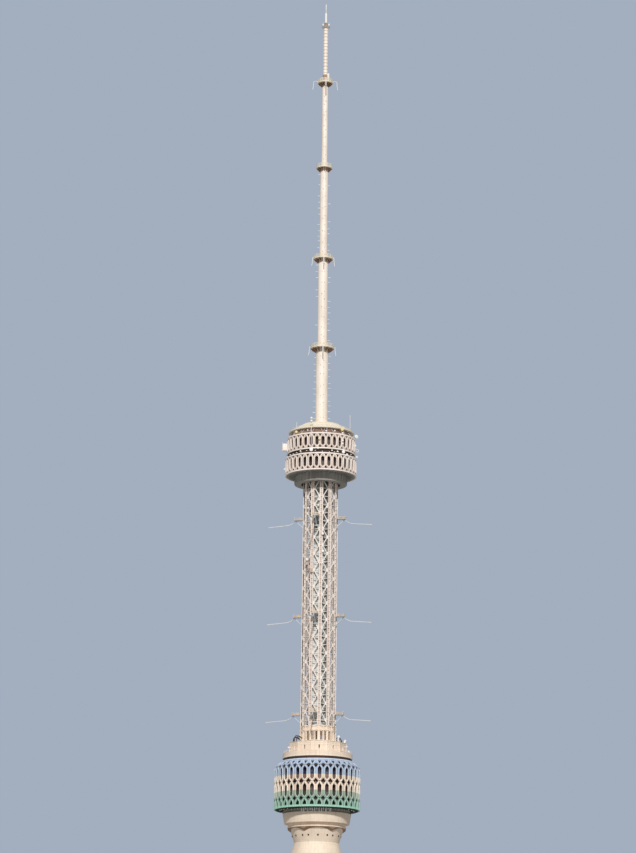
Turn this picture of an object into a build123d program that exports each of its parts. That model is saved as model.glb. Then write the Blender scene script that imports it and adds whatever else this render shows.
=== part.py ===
# A radio and television mast, 375 m tall, as a 1:10 scale model in millimetres.
# Three box legs and a core carry a hexagonal neck. On the neck stand a round building behind a
# pierced screen, a shaft of twelve braced chords, a second round building, and a tube mast in
# four sections with an antenna on top. The origin is on the ground, on the axis, and -Y is the front.
from build123d import *

import os
from math import cos, hypot, pi, radians, sin, tan

# Legs, core and knot
leg_places = ("front", "right", "left")
leg_rise = 7600            # ground to the underside of the knot
flare = 15.5               # degrees from plumb of a leg's outer face, and of the knot's sides
leg_top_width = 700
leg_top_depth = 280
leg_foot_width = 480
leg_foot_depth = 460
leg_wall = 40
core_apothem = 550
core_wall = 30
core_base_rise = 40
knot_rise = 1020
knot_floor = 40
hull_wall = 40             # plating of the knot and of the neck

# Round neck under a six-sided head; the two meet in six arches
neck_sides = 6
waist_radius = 718
neck_rise = 470
neck_flare = 17.6          # degrees from plumb of the round neck's wall
arch_foot = 330            # height of an arch's feet above the waist
arch_crown = 452           # height of an arch's crown above the waist
flare_radius = 935         # round rim of the neck's head
port_radius = 19
port_sides = 6
port_level = 210           # port holes above the waist
port_turn = 22.5           # degrees from a middle port to the ports beside it

# Round collar under the lower building
collar_sides = 24
lip_radius = 950
lip_rise = 35
collar_radius = 925
collar_rise = 101
collar_wall = 50

# Lower drum
drum_foot = 1050
drum_belly = 1105
drum_head = 1065
drum_foot_rise = 304
drum_belly_rise = 70
drum_head_rise = 75
drum_wall = 40
drum_floor = 30

# Lower building
bays = 36
bays_per_panel = 3
screen_wall = 35
panel_joint = 3            # gap between two screen panels
lower_radius = 1375        # outer face of the lower screen
lower_screen_rise = 1340
deck_thickness = 40
floor_thickness = 30
glass_sides = 12
glass_wall = 16
lower_glass_setback = 150  # window wall behind the face of the lower screen
lower_floor_levels = (255, 795)   # tops of the upper floors above the deck's underside

# Openings of the lower screen: width, and each row's sill, springing and crown above its foot
lower_opening_width = 122
arch_row_width = 126
arch_row = (65, 120, 215)
low_row = (325, 380, 670, 745)
high_row = (865, 920, 1230, 1285)

# Sloping shoulder and roof of the lower building
shoulder_rise = 225
shoulder_setback = 225
shoulder_wall = 75
lower_roof_setback = 40
lower_roof_rise = 80

# Terrace ring and terrace drum
terrace_setback = 20       # face of the ring behind the shoulder's upper edge
terrace_rise = 160
terrace_wall = 40
terrace_drum_apothem = 915
terrace_drum_rise = 350
terrace_drum_wall = 35
slot_width = 40
slot_rise = 130
slot_sill = 90

# Lantern: twelve corner pillars with a pair of slots between each two
lantern_rise = 550
lantern_wall = 35
lantern_roof = 30
lantern_slot_width = 88
lantern_mullion = 28
lantern_slot_sill = 70
lantern_slot_rise = 290

# Braced shaft: chords, and a zigzag of diagonals in each side between two chords
chords = 12
shaft_radius = 536         # circle through the chords' centres
chord_depth = 80
chord_width = 90
shaft_rise = 8330
brace_width = 26
brace_depth = 30
brace_modules = 29
bracing_places = ("front", "right", "back", "left")
first_brace = 167          # first bracing level above the shaft's foot
last_brace = 211           # last bracing level below the shaft's head
stiffener_levels = (0, 10, 20, 29)   # counted in bracing modules
stiffener_wall = 25
stiffener_rise = 30
riser_width = 200
riser_depth = 120
riser_across = -125        # riser's middle, left of the axis seen from the front
riser_setback = 106        # riser's near face behind the chords' inner faces

# Booms on the shaft
boom_levels = (400, 3630, 6890)
boom_azimuths = (-15, 75, 165, 255)
bracket_reach = 320
bracket_thickness = 20
bracket_drop = 290
bracket_bar = 30
boom_bar = 28
boom_route = ((0, 0), (90, -95), (230, -158), (925, -215))

# Upper building
soffit_radius = 860
soffit_rise = 280
soffit_hole = 650
soffit_wall = 30
upper_low_radius = 1170
upper_low_rise = 580
upper_gap = 135
upper_high_radius = 1130
upper_high_rise = 550
upper_opening_width = 108
upper_opening_sill = 115
upper_opening_head = 115
upper_opening_point = 50
upper_glass_setback = 145  # window wall behind the face of the high screen
eaves_gap = 175
eaves_setback = 110
eaves_rise = 60
roof_fold_setback = 430    # fold of the roof behind its edge
roof_fold_rise = 260
roof_rise = 340
roof_shell = 30

# Tube mast and antenna
mast_sides = 16
mast_radii = (206, 166, 133, 102)
mast_tops = (4390, 7530, 10770, 13850)   # above the upper building's deck
mast_wall = 20
antenna_radius = 80
antenna_rise = 2020
antenna_flange = 14
antenna_flange_rise = 30
needle_radius = 40
needle_rise = 555
rod_radius = 14
rod_rise = 325
tip_collar_radius = 135
tip_collar_rise = 30

# Mast platforms
platform_radii = (400, 330, 275, 260)
platform_thickness = 24
platform_sides = 12
gusset_drop = 110
gusset_thickness = 20
gussets = 4


def corners(sides, apothem, level, turn=0.0):
    """Corners of a regular outline with one flat side facing the front, at that distance from the axis."""
    corner = apothem / cos(pi / sides)
    angles = [radians(turn) + pi * (2 * k + 1) / sides for k in range(sides)]
    return [(corner * sin(a), -corner * cos(a), level) for a in angles]


def prism(sides, apothem, low, high, turn=0.0):
    """Upright regular prism between two levels."""
    return extrude(make_face(Polyline(*corners(sides, apothem, low, turn), close=True)), high - low, dir=(0, 0, 1))


def between(low, high):
    """Solid between two level outlines with as many corners, its sides flat."""
    sides = [make_face(Polyline(low[k - 1], low[k], high[k], high[k - 1], close=True)) for k in range(len(low))]
    ends = [make_face(Polyline(*outline, close=True)) for outline in (low, high)]
    return Solid(Shell(sides + ends))


def frustum(sides, low_apothem, high_apothem, low, high):
    """Regular prism whose sides lean, between two levels."""
    return between(corners(sides, low_apothem, low), corners(sides, high_apothem, high))


def tube(sides, apothem, wall, low, high, turn=0.0):
    """Regular prism with a wall and open ends."""
    return prism(sides, apothem, low, high, turn) - prism(sides, apothem - wall, low, high, turn)


def turned(shape, azimuth):
    """The shape, made at the front, turned about the axis towards the right."""
    return Rot(0, 0, azimuth) * shape


def front_cutter(points, near, far):
    """Upright outline at the front, given as (across, level), cut through from near to far."""
    plane = Plane(origin=(0, -far, 0), x_dir=(1, 0, 0), z_dir=(0, -1, 0))
    return extrude(plane * make_face(Polyline(*points, close=True)), near - far)


def box_between(x, y, z):
    """Block from pairs of low and high coordinates."""
    size = (x[1] - x[0], y[1] - y[0], z[1] - z[0])
    centre = ((x[0] + x[1]) / 2, (y[0] + y[1]) / 2, (z[0] + z[1]) / 2)
    return Pos(*centre) * Box(*size)


# Levels, each from the one below
knot_low = leg_rise
waist = knot_low + knot_rise
neck_top = waist + neck_rise
lip_top = neck_top + lip_rise
collar_top = lip_top + collar_rise
drum_shoulder = collar_top + drum_foot_rise
drum_step = drum_shoulder + drum_belly_rise
lower_deck = drum_step + drum_head_rise
lower_floor = lower_deck + deck_thickness
lower_screen_top = lower_deck + lower_screen_rise
shoulder_top = lower_screen_top + shoulder_rise
terrace_low = shoulder_top + lower_roof_rise
terrace_top = terrace_low + terrace_rise
lantern_low = terrace_top + terrace_drum_rise
shaft_low = lantern_low + lantern_rise
upper_deck = shaft_low + shaft_rise
upper_floor = upper_deck + deck_thickness
upper_low_top = upper_deck + upper_low_rise
upper_high_low = upper_low_top + upper_gap
upper_high_top = upper_high_low + upper_high_rise
eaves = upper_high_top + eaves_gap
mast_joints = [upper_floor] + [upper_floor + top for top in mast_tops]
antenna_low = mast_joints[-1]
needle_low = antenna_low + antenna_rise
rod_low = needle_low + needle_rise
mast_top = rod_low + rod_rise

knot_low_radius = waist_radius + knot_rise * tan(radians(flare))
leg_face = (knot_low_radius ** 2 - (leg_top_width / 2) ** 2) ** 0.5   # a leg's head ends under the knot
foot_face = leg_face + leg_rise * tan(radians(flare))

strips_per_place = chords // len(bracing_places)
brace_module = (shaft_rise - first_brace - last_brace) / brace_modules   # height of one diagonal

# Faces of the pieces that follow a screen
lower_glass_apothem = lower_radius - lower_glass_setback
terrace_radius = lower_radius - shoulder_setback - terrace_setback
upper_glass_apothem = upper_high_radius - upper_glass_setback
eaves_radius = upper_high_radius - eaves_setback

# Half the clear width between two neighbouring chords of the shaft
chord_clear = shaft_radius * sin(pi / chords) - chord_width / 2 * cos(pi / chords)


def leg_outline(face, width, depth, inset, level):
    """Corners of a leg at the front, its outer face at the given distance from the axis."""
    half = width / 2 - inset
    outer, inner = -face + inset, -face + depth - inset
    return [(-half, outer, level), (half, outer, level), (half, inner, level), (-half, inner, level)]


def leg(azimuth):
    """Hollow box leg that leans in from its foot to the knot."""
    foot = leg_outline(foot_face, leg_foot_width, leg_foot_depth, 0, 0)
    head = leg_outline(leg_face, leg_top_width, leg_top_depth, 0, leg_rise)
    lean = leg_wall * tan(radians(flare))
    low = leg_outline(foot_face - lean, leg_foot_width, leg_foot_depth, leg_wall, leg_wall)
    high = leg_outline(leg_face + lean, leg_top_width, leg_top_depth, leg_wall, leg_rise - leg_wall)
    return turned(between(foot, head) - between(low, high), azimuth)


def core_base():
    """Twelve-sided plate on the ground under the core."""
    return prism(chords, core_apothem, 0, core_base_rise)


def core_shaft():
    """Twelve-sided core from its base plate to the underside of the knot."""
    return tube(chords, core_apothem, core_wall, core_base_rise, knot_low)


def leg_knot():
    """Closed round body where the legs meet, narrowing up to the waist."""
    outside = frustum(collar_sides, knot_low_radius, waist_radius, knot_low, waist)
    lean = tan(radians(flare))
    low_inside = knot_low_radius - knot_floor * lean - hull_wall
    inside = frustum(collar_sides, low_inside, waist_radius - hull_wall, knot_low + knot_floor, waist)
    return outside - inside


def hex_neck():
    """Round flaring neck under a six-sided head, whose leaning sides meet the neck in six arches."""
    lean = tan(radians(neck_flare))
    body = frustum(collar_sides, waist_radius, waist_radius + neck_rise * lean, waist, neck_top)
    foot_apothem = (waist_radius + arch_foot * lean) * cos(pi / neck_sides)
    crown_apothem = waist_radius + arch_crown * lean
    head_lean = (crown_apothem - foot_apothem) / (arch_crown - arch_foot)
    head_low = waist + arch_foot
    head_apothem = foot_apothem + (neck_rise - arch_foot) * head_lean
    head = frustum(neck_sides, foot_apothem, head_apothem, head_low, neck_top)
    head = head & prism(collar_sides, flare_radius, head_low, neck_top)
    near = waist_radius - hull_wall
    room_rise = neck_rise - hull_wall
    inside = frustum(collar_sides, near, near + room_rise * lean, waist, waist + room_rise)
    far = waist_radius + 2 * port_level * lean
    port = Plane(origin=(0, -far, waist + port_level), x_dir=(1, 0, 0), z_dir=(0, -1, 0))
    hole = extrude(port * RegularPolygon(port_radius, port_sides), near - far)
    cuts = [turned(hole, 360 / neck_sides * k + side * port_turn) for k in range(neck_sides)
            for side in (-1, 0, 1)]
    return body + head - inside - cuts


def neck_collar():
    """Round lip on the neck and the narrower collar above it."""
    inner = collar_radius - collar_wall
    ring = prism(collar_sides, lip_radius, neck_top, lip_top)
    ring = ring + prism(collar_sides, collar_radius, lip_top, collar_top)
    return ring - prism(collar_sides, inner, neck_top, collar_top)


def lower_drum():
    """Round room under the lower building, widest at its belly, with a floor."""
    outside = frustum(collar_sides, drum_foot, drum_belly, collar_top, drum_shoulder)
    outside = outside + frustum(collar_sides, drum_belly, drum_head, drum_shoulder, drum_step)
    outside = outside + prism(collar_sides, drum_head, drum_step, lower_deck)
    return outside - prism(collar_sides, drum_foot - drum_wall, collar_top + drum_floor, lower_deck)


def panel_outline(apothem):
    """Plan of one screen panel at the front: three flats of the ring, a joint gap at each end."""
    def end(radius, side):
        middle = radians(side * 360 / bays * (bays_per_panel - 1) / 2)
        reach = radius * tan(pi / bays) - panel_joint / 2
        return (radius * sin(middle) + side * reach * cos(middle),
                -radius * cos(middle) + side * reach * sin(middle))

    def corners(radius):
        folds = [2 * pi / bays * (k - (bays_per_panel - 2) / 2) for k in range(bays_per_panel - 1)]
        corner = radius / cos(pi / bays)
        return [end(radius, -1)] + [(corner * sin(a), -corner * cos(a)) for a in folds] + [end(radius, 1)]

    return make_face(Polyline(*corners(apothem), *reversed(corners(apothem - screen_wall)), close=True))


def screen_panel(apothem, foot, rise, openings):
    """One screen panel with the same openings in each of its bays."""
    panel = extrude(Pos(0, 0, foot) * panel_outline(apothem), rise)
    cutters = []
    for bay in range(bays_per_panel):
        azimuth = 360 / bays * (bay - (bays_per_panel - 1) / 2)
        for outline in openings:
            points = [(across, foot + level) for across, level in outline]
            cutter = front_cutter(points, apothem - 2 * screen_wall, apothem + screen_wall)
            cutters.append(turned(cutter, azimuth))
    return panel - cutters


def screen_half(panel, back):
    """Half the panels of a screen: those round its front, or those round its back."""
    panels = bays // bays_per_panel
    first = 1 - panels // 4 + (panels // 2 if back else 0)
    return [turned(panel, 360 / panels * (first + k)) for k in range(panels // 2)]


def pointed_slot(width, sill, low_spring, high_spring, crown):
    """Tall opening with a point at each end."""
    half = width / 2
    return ((0, sill), (half, low_spring), (half, high_spring), (0, crown),
            (-half, high_spring), (-half, low_spring))


def pointed_arch(width, sill, spring, crown):
    """Low opening with a flat sill and a pointed head."""
    half = width / 2
    return ((-half, sill), (half, sill), (half, spring), (0, crown), (-half, spring))


def lower_panel():
    """Panel of the lower screen, with three rows of openings."""
    openings = (pointed_arch(arch_row_width, *arch_row),
                pointed_slot(lower_opening_width, *low_row),
                pointed_slot(lower_opening_width, *high_row))
    return screen_panel(lower_radius, lower_deck, lower_screen_rise, openings)


def upper_panel(apothem, foot, rise):
    """Panel of one of the upper screens, with one row of openings."""
    sill = upper_opening_sill
    crown = rise - upper_opening_head
    point = upper_opening_point
    opening = pointed_slot(upper_opening_width, sill, sill + point, crown - point, crown)
    return screen_panel(apothem, foot, rise, (opening,))


def glass_panes(apothem, low, high):
    """Flat panes that stand in a twelve-sided ring, one storey high."""
    half = (apothem - glass_wall) * tan(pi / glass_sides) - panel_joint / 2
    pane = box_between((-half, half), (-apothem, -apothem + glass_wall), (low, high))
    return [turned(pane, 360 / glass_sides * k) for k in range(glass_sides)]


def lower_glass():
    """Window wall behind the lower screen, in three storeys between the floors."""
    tops = [lower_deck + level for level in lower_floor_levels]
    feet = [lower_floor] + tops
    heads = [top - floor_thickness for top in tops] + [lower_screen_top - floor_thickness]
    panes = []
    for foot, head in zip(feet, heads):
        panes += glass_panes(lower_glass_apothem, foot, head)
    return panes


def lower_core():
    """Twelve-sided core that carries the floors inside the lower building."""
    return tube(chords, core_apothem, core_wall, lower_floor, lower_screen_top - floor_thickness)


def lower_floors():
    """Upper floors of the lower building, round the core and out to the window wall."""
    tops = [lower_deck + level for level in lower_floor_levels]
    hole = prism(chords, core_apothem, lower_deck, lower_screen_top)
    return [prism(glass_sides, lower_glass_apothem, top - floor_thickness, top) - hole for top in tops]


def lower_deck_plate():
    """Floor of the lower building, inside the foot of the screen."""
    return prism(bays, lower_radius - screen_wall, lower_deck, lower_floor)


def lower_ceiling():
    """Plate across the head of the lower screen, which carries the shoulder."""
    return prism(bays, lower_radius - screen_wall, lower_screen_top - floor_thickness, lower_screen_top)


def lower_shoulder():
    """Sloping ring from the head of the screen in to the roof."""
    top_radius = lower_radius - shoulder_setback
    outside = frustum(bays, lower_radius, top_radius, lower_screen_top, shoulder_top)
    inside = frustum(bays, lower_radius - shoulder_wall, top_radius - shoulder_wall, lower_screen_top, shoulder_top)
    return outside - inside


def lower_roof():
    """Recessed roof slab between the shoulder and the terrace ring."""
    return prism(bays, lower_radius - shoulder_setback - lower_roof_setback, shoulder_top, terrace_low)


def terrace_ring():
    """Plain round storey, a wall with its roof."""
    outside = prism(collar_sides, terrace_radius, terrace_low, terrace_top)
    return outside - prism(collar_sides, terrace_radius - terrace_wall, terrace_low, terrace_top - terrace_wall)


def terrace_drum():
    """Twelve-sided storey with a slot window in each side, and its roof."""
    wall = terrace_drum_wall
    outside = prism(chords, terrace_drum_apothem, terrace_top, lantern_low)
    room = prism(chords, terrace_drum_apothem - wall, terrace_top, lantern_low - wall)
    half = slot_width / 2
    sill = terrace_top + slot_sill
    slot = box_between((-half, half), (-terrace_drum_apothem - wall, -terrace_drum_apothem + 2 * wall),
                       (sill, sill + slot_rise))
    return outside - room - [turned(slot, 360 / chords * k) for k in range(chords)]


def lantern():
    """Twelve-sided storey whose corner pillars stand under the shaft's chords, and its roof."""
    apothem = (shaft_radius + chord_depth / 2) * cos(pi / chords)
    turn = 180 / chords
    outside = prism(chords, apothem, lantern_low, shaft_low, turn)
    room = prism(chords, apothem - lantern_wall, lantern_low, shaft_low - lantern_roof, turn)
    sill = lantern_low + lantern_slot_sill
    near = lantern_mullion / 2
    slots = []
    for side in (-1, 1):
        across = sorted((side * near, side * (near + lantern_slot_width)))
        slots.append(box_between(across, (-apothem - lantern_wall, -apothem + 2 * lantern_wall),
                                 (sill, sill + lantern_slot_rise)))
    cuts = [turned(slot, turn + 360 / chords * k) for k in range(chords) for slot in slots]
    return outside - room - cuts


def chord(number):
    """Upright box of the shaft, its cheeks square to the sides that meet it."""
    half = chord_width / 2
    spread = chord_depth / 2 * tan(pi / chords)
    inner = shaft_radius - chord_depth / 2
    outer = shaft_radius + chord_depth / 2
    plan = Polyline((-half - spread, -outer), (half + spread, -outer), (half - spread, -inner),
                    (-half + spread, -inner), close=True)
    box = extrude(Pos(0, 0, shaft_low) * make_face(plan), shaft_rise)
    return turned(box, 360 / chords * number)


def brace_strip(number):
    """Zigzag of diagonals between two chords, cut from one flat strip that meets both."""
    apothem = shaft_radius * cos(pi / chords)
    run = 2 * chord_clear
    mitre = brace_width / 2 * hypot(run, brace_module) / brace_module
    bend = chord_clear - mitre
    centre = []
    for level in range(brace_modules + 1):
        side = -1 if (number + level) % 2 else 1
        centre.append((side * bend, shaft_low + first_brace + level * brace_module))
    right = [(across + mitre, level) for across, level in centre]
    left = [(across - mitre, level) for across, level in reversed(centre)]
    strip = front_cutter(right + left, apothem - brace_depth / 2, apothem + brace_depth / 2)
    return turned(strip, 360 / chords * (number + 0.5))


def shaft_stiffeners():
    """Level rings inside the chords."""
    inner_face = shaft_radius - chord_depth / 2
    levels = [shaft_low + first_brace + step * brace_module for step in stiffener_levels]
    return [tube(chords, inner_face, stiffener_wall, level - stiffener_rise / 2, level + stiffener_rise / 2)
            for level in levels]


def shaft_riser():
    """Closed box riser inside the shaft, from the lantern's roof to the upper deck."""
    near = shaft_radius - chord_depth / 2 - riser_setback
    return box_between((riser_across - riser_width / 2, riser_across + riser_width / 2),
                       (-near, -near + riser_depth), (shaft_low, upper_deck))


def boom(level, azimuth):
    """Bracket between two chords with a strut under it, and the drooping boom at its end."""
    inner = shaft_radius * cos(pi / chords) + brace_depth / 2 + panel_joint
    outer = inner + bracket_reach
    seat = shaft_low + level
    under = seat - bracket_thickness
    low = seat - bracket_drop
    plate = box_between((-chord_clear, chord_clear), (-outer, -inner), (under, seat))
    beam = box_between((-chord_clear, chord_clear), (-inner - bracket_bar, -inner), (low - bracket_bar, low))
    strut = ((inner, low - bracket_bar), (outer, under), (outer - bracket_bar, under), (inner, low))
    top = [(outer - bracket_bar + out, seat + rise) for out, rise in boom_route]
    bottom = [(out, rise - boom_bar) for out, rise in reversed(top)]
    side = Plane(origin=(-boom_bar / 2, 0, 0), x_dir=(0, -1, 0), z_dir=(-1, 0, 0))
    bars = [extrude(side * make_face(Polyline(*outline, close=True)), -boom_bar)
            for outline in (strut, top + bottom)]
    return turned(plate + beam + bars, azimuth)


def upper_soffit():
    """Stepped drum under the upper building: a short wall and a floor ring round the shaft."""
    low = upper_deck - soffit_rise
    outside = prism(collar_sides, soffit_radius, low, upper_deck)
    room = prism(collar_sides, soffit_radius - soffit_wall, low + soffit_wall, upper_deck)
    hole = prism(chords, soffit_hole, low, low + soffit_wall)
    return outside - room - hole


def upper_deck_plate():
    """Floor of the upper building, on the heads of the chords."""
    return prism(bays, upper_low_radius - screen_wall, upper_deck, upper_floor)


def upper_mid_floor():
    """Recessed slab between the two upper screens, round the mast's foot."""
    slab = prism(bays, upper_high_radius - screen_wall, upper_low_top, upper_high_low + floor_thickness)
    return slab - prism(mast_sides, mast_radii[0], upper_low_top, upper_high_low + floor_thickness)


def upper_glass():
    """Window wall behind the upper screens, below and above the slab."""
    panes = glass_panes(upper_glass_apothem, upper_floor, upper_low_top)
    return panes + glass_panes(upper_glass_apothem, upper_high_low + floor_thickness, eaves)


def upper_roof():
    """Many-sided roof round the mast, steep up to a fold and then nearly level, with a ceiling plate."""
    edge = eaves + eaves_rise
    fold = edge + roof_fold_rise
    top = edge + roof_rise
    fold_radius = eaves_radius - roof_fold_setback
    head = mast_radii[0] + roof_shell
    outside = prism(collar_sides, eaves_radius, eaves, edge)
    outside = outside + frustum(collar_sides, eaves_radius, fold_radius, edge, fold)
    outside = outside + frustum(collar_sides, fold_radius, head, fold, top)
    inner_edge, inner_fold = eaves_radius - roof_shell, fold_radius - roof_shell
    inside = prism(collar_sides, inner_edge, eaves + roof_shell, edge)
    inside = inside + frustum(collar_sides, inner_edge, inner_fold, edge, fold - roof_shell)
    inside = inside + frustum(collar_sides, inner_fold, head, fold - roof_shell, top - roof_shell)
    hole = prism(mast_sides, mast_radii[0], eaves, top)
    return outside - inside - hole


def mast_section(number):
    """Tube of the mast with a closed head, standing on the one below."""
    low, high = mast_joints[number], mast_joints[number + 1]
    outside = prism(mast_sides, mast_radii[number], low, high)
    return outside - prism(mast_sides, mast_radii[number] - mast_wall, low, high - mast_wall)


def mast_platform(number):
    """Ring platform just below a joint of the mast, on triangular gussets."""
    top = mast_joints[number + 1]
    low = top - platform_thickness
    tube_radius = mast_radii[number]
    reach = platform_radii[number]
    ring = prism(platform_sides, reach, low, top)
    outline = ((-tube_radius + gusset_thickness, low), (-reach + gusset_thickness, low),
               (-tube_radius + gusset_thickness, low - gusset_drop))
    side = Plane(origin=(gusset_thickness / 2, 0, 0), x_dir=(0, 1, 0), z_dir=(1, 0, 0))
    gusset = extrude(side * make_face(Polyline(*outline, close=True)), -gusset_thickness)
    whole = ring + [turned(gusset, 360 / gussets * k) for k in range(gussets)]
    return whole - prism(mast_sides, tube_radius, low - gusset_drop, top)


def antenna():
    """Antenna column at the head of the mast, with a flange at each end."""
    column = prism(platform_sides, antenna_radius - antenna_flange, antenna_low, needle_low)
    for low in (antenna_low, needle_low - antenna_flange_rise):
        column = column + prism(platform_sides, antenna_radius, low, low + antenna_flange_rise)
    return column


def mast_tip():
    """Collar, needle and rod at the very top."""
    collar = prism(platform_sides, tip_collar_radius, needle_low, needle_low + tip_collar_rise)
    needle = prism(platform_sides, needle_radius, needle_low, rod_low)
    rod = prism(neck_sides, rod_radius, rod_low, mast_top)
    return collar + needle + rod


def write(name, shape):
    """One file for one named piece, which may be several solids that don't touch."""
    solids = shape if isinstance(shape, list) else [shape]
    loose = [solid for item in solids for solid in item.solids()]
    export_step(Compound(children=loose) if len(loose) > 1 else loose[0], f"parts/{name}.step")


os.makedirs("parts", exist_ok=True)

write("core_base", core_base())
write("core_shaft", core_shaft())
for number, place in enumerate(leg_places):
    write(f"leg_{place}", leg(360 / len(leg_places) * number))
write("leg_knot", leg_knot())
write("hex_neck", hex_neck())
write("neck_collar", neck_collar())
write("lower_drum", lower_drum())
write("lower_deck", lower_deck_plate())
write("lower_core", lower_core())
write("lower_floors", lower_floors())
write("lower_glass", lower_glass())
write("lower_ceiling", lower_ceiling())
write("lower_shoulder", lower_shoulder())
write("lower_roof", lower_roof())
write("terrace_ring", terrace_ring())
write("terrace_drum", terrace_drum())
write("lantern", lantern())
write("shaft_chords", [chord(number) for number in range(chords)])
for number, place in enumerate(bracing_places):
    first = strips_per_place * number - strips_per_place // 2
    write(f"bracing_{place}", [brace_strip(first + k) for k in range(strips_per_place)])
write("shaft_stiffeners", shaft_stiffeners())
write("shaft_riser", shaft_riser())
write("booms", [boom(level, azimuth) for level in boom_levels for azimuth in boom_azimuths])
write("upper_soffit", upper_soffit())
write("upper_deck", upper_deck_plate())
write("upper_mid_floor", upper_mid_floor())
write("upper_glass", upper_glass())
write("upper_roof", upper_roof())
screens = (("lower_screen", lower_panel()),
           ("upper_low_screen", upper_panel(upper_low_radius, upper_deck, upper_low_rise)),
           ("upper_high_screen", upper_panel(upper_high_radius, upper_high_low, upper_high_rise)))
for name, panel in screens:
    write(f"{name}_front", screen_half(panel, False))
    write(f"{name}_back", screen_half(panel, True))
for number in range(len(mast_radii)):
    write(f"mast_section_{number + 1}", mast_section(number))
write("mast_platforms", [mast_platform(number) for number in range(len(mast_radii))])
write("antenna", antenna())
write("mast_tip", mast_tip())
print("total height", mast_top, "foot reach", round(foot_face))
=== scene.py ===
# %% [markdown]
# # A radio mast, dressed in Blender
# The object is a radio and television mast, 375 m tall, as a 1:10 scale model. Its solids come from the
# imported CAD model, and this lesson gives them the detail, paint and weather of the real one.
# A piece is first made once, at the front, and then repeated round the axis by Geometry Nodes, as the
# real mast was made from a few kinds of panel and bar.

from math import atan, cos, hypot, pi, radians, sin, tan
from random import Random

import bmesh
import bpy
from mathutils import Matrix, Vector


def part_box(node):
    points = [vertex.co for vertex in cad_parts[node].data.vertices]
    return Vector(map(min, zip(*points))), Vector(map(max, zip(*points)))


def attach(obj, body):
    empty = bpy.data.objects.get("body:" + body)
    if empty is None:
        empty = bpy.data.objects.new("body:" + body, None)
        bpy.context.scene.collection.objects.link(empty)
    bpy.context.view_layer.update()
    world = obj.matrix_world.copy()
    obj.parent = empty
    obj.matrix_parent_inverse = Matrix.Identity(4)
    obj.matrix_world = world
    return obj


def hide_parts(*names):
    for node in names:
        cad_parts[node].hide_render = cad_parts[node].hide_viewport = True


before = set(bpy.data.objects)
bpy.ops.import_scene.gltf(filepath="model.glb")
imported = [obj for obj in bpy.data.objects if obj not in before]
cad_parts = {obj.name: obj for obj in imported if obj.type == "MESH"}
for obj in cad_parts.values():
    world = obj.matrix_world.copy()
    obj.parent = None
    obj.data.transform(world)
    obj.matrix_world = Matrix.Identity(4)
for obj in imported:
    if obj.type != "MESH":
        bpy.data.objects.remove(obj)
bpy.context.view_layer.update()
mm = 0.001

# %% [markdown]
# ## Nodes and colours
# Materials and Geometry Nodes are both trees of nodes, so one small function adds a node to either.
# Colours are written as on the screen, in hex, and one function turns them to the linear values that
# light is added up in. A third one puts a new object into the scene.

# %% Node, colour and object helpers
def add(tree, kind, inputs=None, **settings):
    """Adds one node. An input is given a value, or a socket to link it to."""
    made = tree.nodes.new(kind)
    for name, value in settings.items():
        setattr(made, name, value)
    for key, value in (inputs or {}).items():
        if isinstance(value, bpy.types.NodeSocket):
            tree.links.new(value, made.inputs[key])
        else:
            made.inputs[key].default_value = value
    return made


def linear(hex_colour):
    """Turns an sRGB hex colour to linear red, green, blue and alpha."""
    parts = [int(hex_colour[k:k + 2], 16) / 255 for k in (1, 3, 5)]
    return (*[c / 12.92 if c <= 0.04045 else ((c + 0.055) / 1.055) ** 2.4 for c in parts], 1.0)


def placed(name, data):
    """A new object at the origin that shows a mesh, a curve, a lamp or a camera."""
    made = bpy.data.objects.new(name, data)
    bpy.context.collection.objects.link(made)
    return made


print("the mast's cream in linear light", [round(value, 3) for value in linear("#FFF2E3")[:3]])

# %% [markdown]
# ## Camera
# The photograph was taken from the ground, 907 m away, with a long lens tipped upwards, so at this scale
# the camera stands 90.7 m away at the height of an eye. The tower leans a little in the picture, which is
# a small roll of the camera. The axis doesn't pass through the picture's middle, which is a small turn.

# %% Camera at the photograph's place
picture_width, picture_height = 636, 853
camera_distance, eye_height, camera_azimuth = 90.7, 0.16, 3.0
camera_pitch, camera_roll = 13.80, 0.68
focal_pixels = 2800
axis_pixel = (321.35, 426.5)
sensor = 36

camera_data = bpy.data.cameras.new("photo_camera")
camera_data.sensor_width = sensor
camera_data.lens = sensor * focal_pixels / picture_height
camera_data.clip_end = 1000
camera = placed("photo_camera", camera_data)
bpy.context.scene.camera = camera
azimuth = radians(camera_azimuth)
camera.location = (-camera_distance * sin(azimuth), -camera_distance * cos(azimuth), eye_height)
turn = atan((axis_pixel[0] - picture_width / 2) / focal_pixels / cos(radians(camera_pitch)))
camera.rotation_mode = "QUATERNION"
camera.rotation_quaternion = (Matrix.Rotation(turn - azimuth, 3, "Z")
                              @ Matrix.Rotation(radians(90 + camera_pitch), 3, "X")
                              @ Matrix.Rotation(radians(camera_roll), 3, "Z")).to_quaternion()
print("lens", round(camera_data.lens, 1), "mm")

# %% [markdown]
# ## Floor, sky and light
# A sun behind the camera and an even sky light the mast, at a level where paint shows about the colour
# that is written for it. The camera sees a plain sky colour, while the pieces are lit by white.

# %% Floor
floor_half, floor_drop = 1500, 2 * mm
floor_mesh = bpy.data.meshes.new("floor")
floor_mesh.from_pydata([(x, y, -floor_drop) for x, y in
                        ((-floor_half, -floor_half), (floor_half, -floor_half),
                         (floor_half, floor_half), (-floor_half, floor_half))], [], [(0, 1, 2, 3)])
floor = placed("floor", floor_mesh)
print("floor", 2 * floor_half, "m wide")

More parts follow.
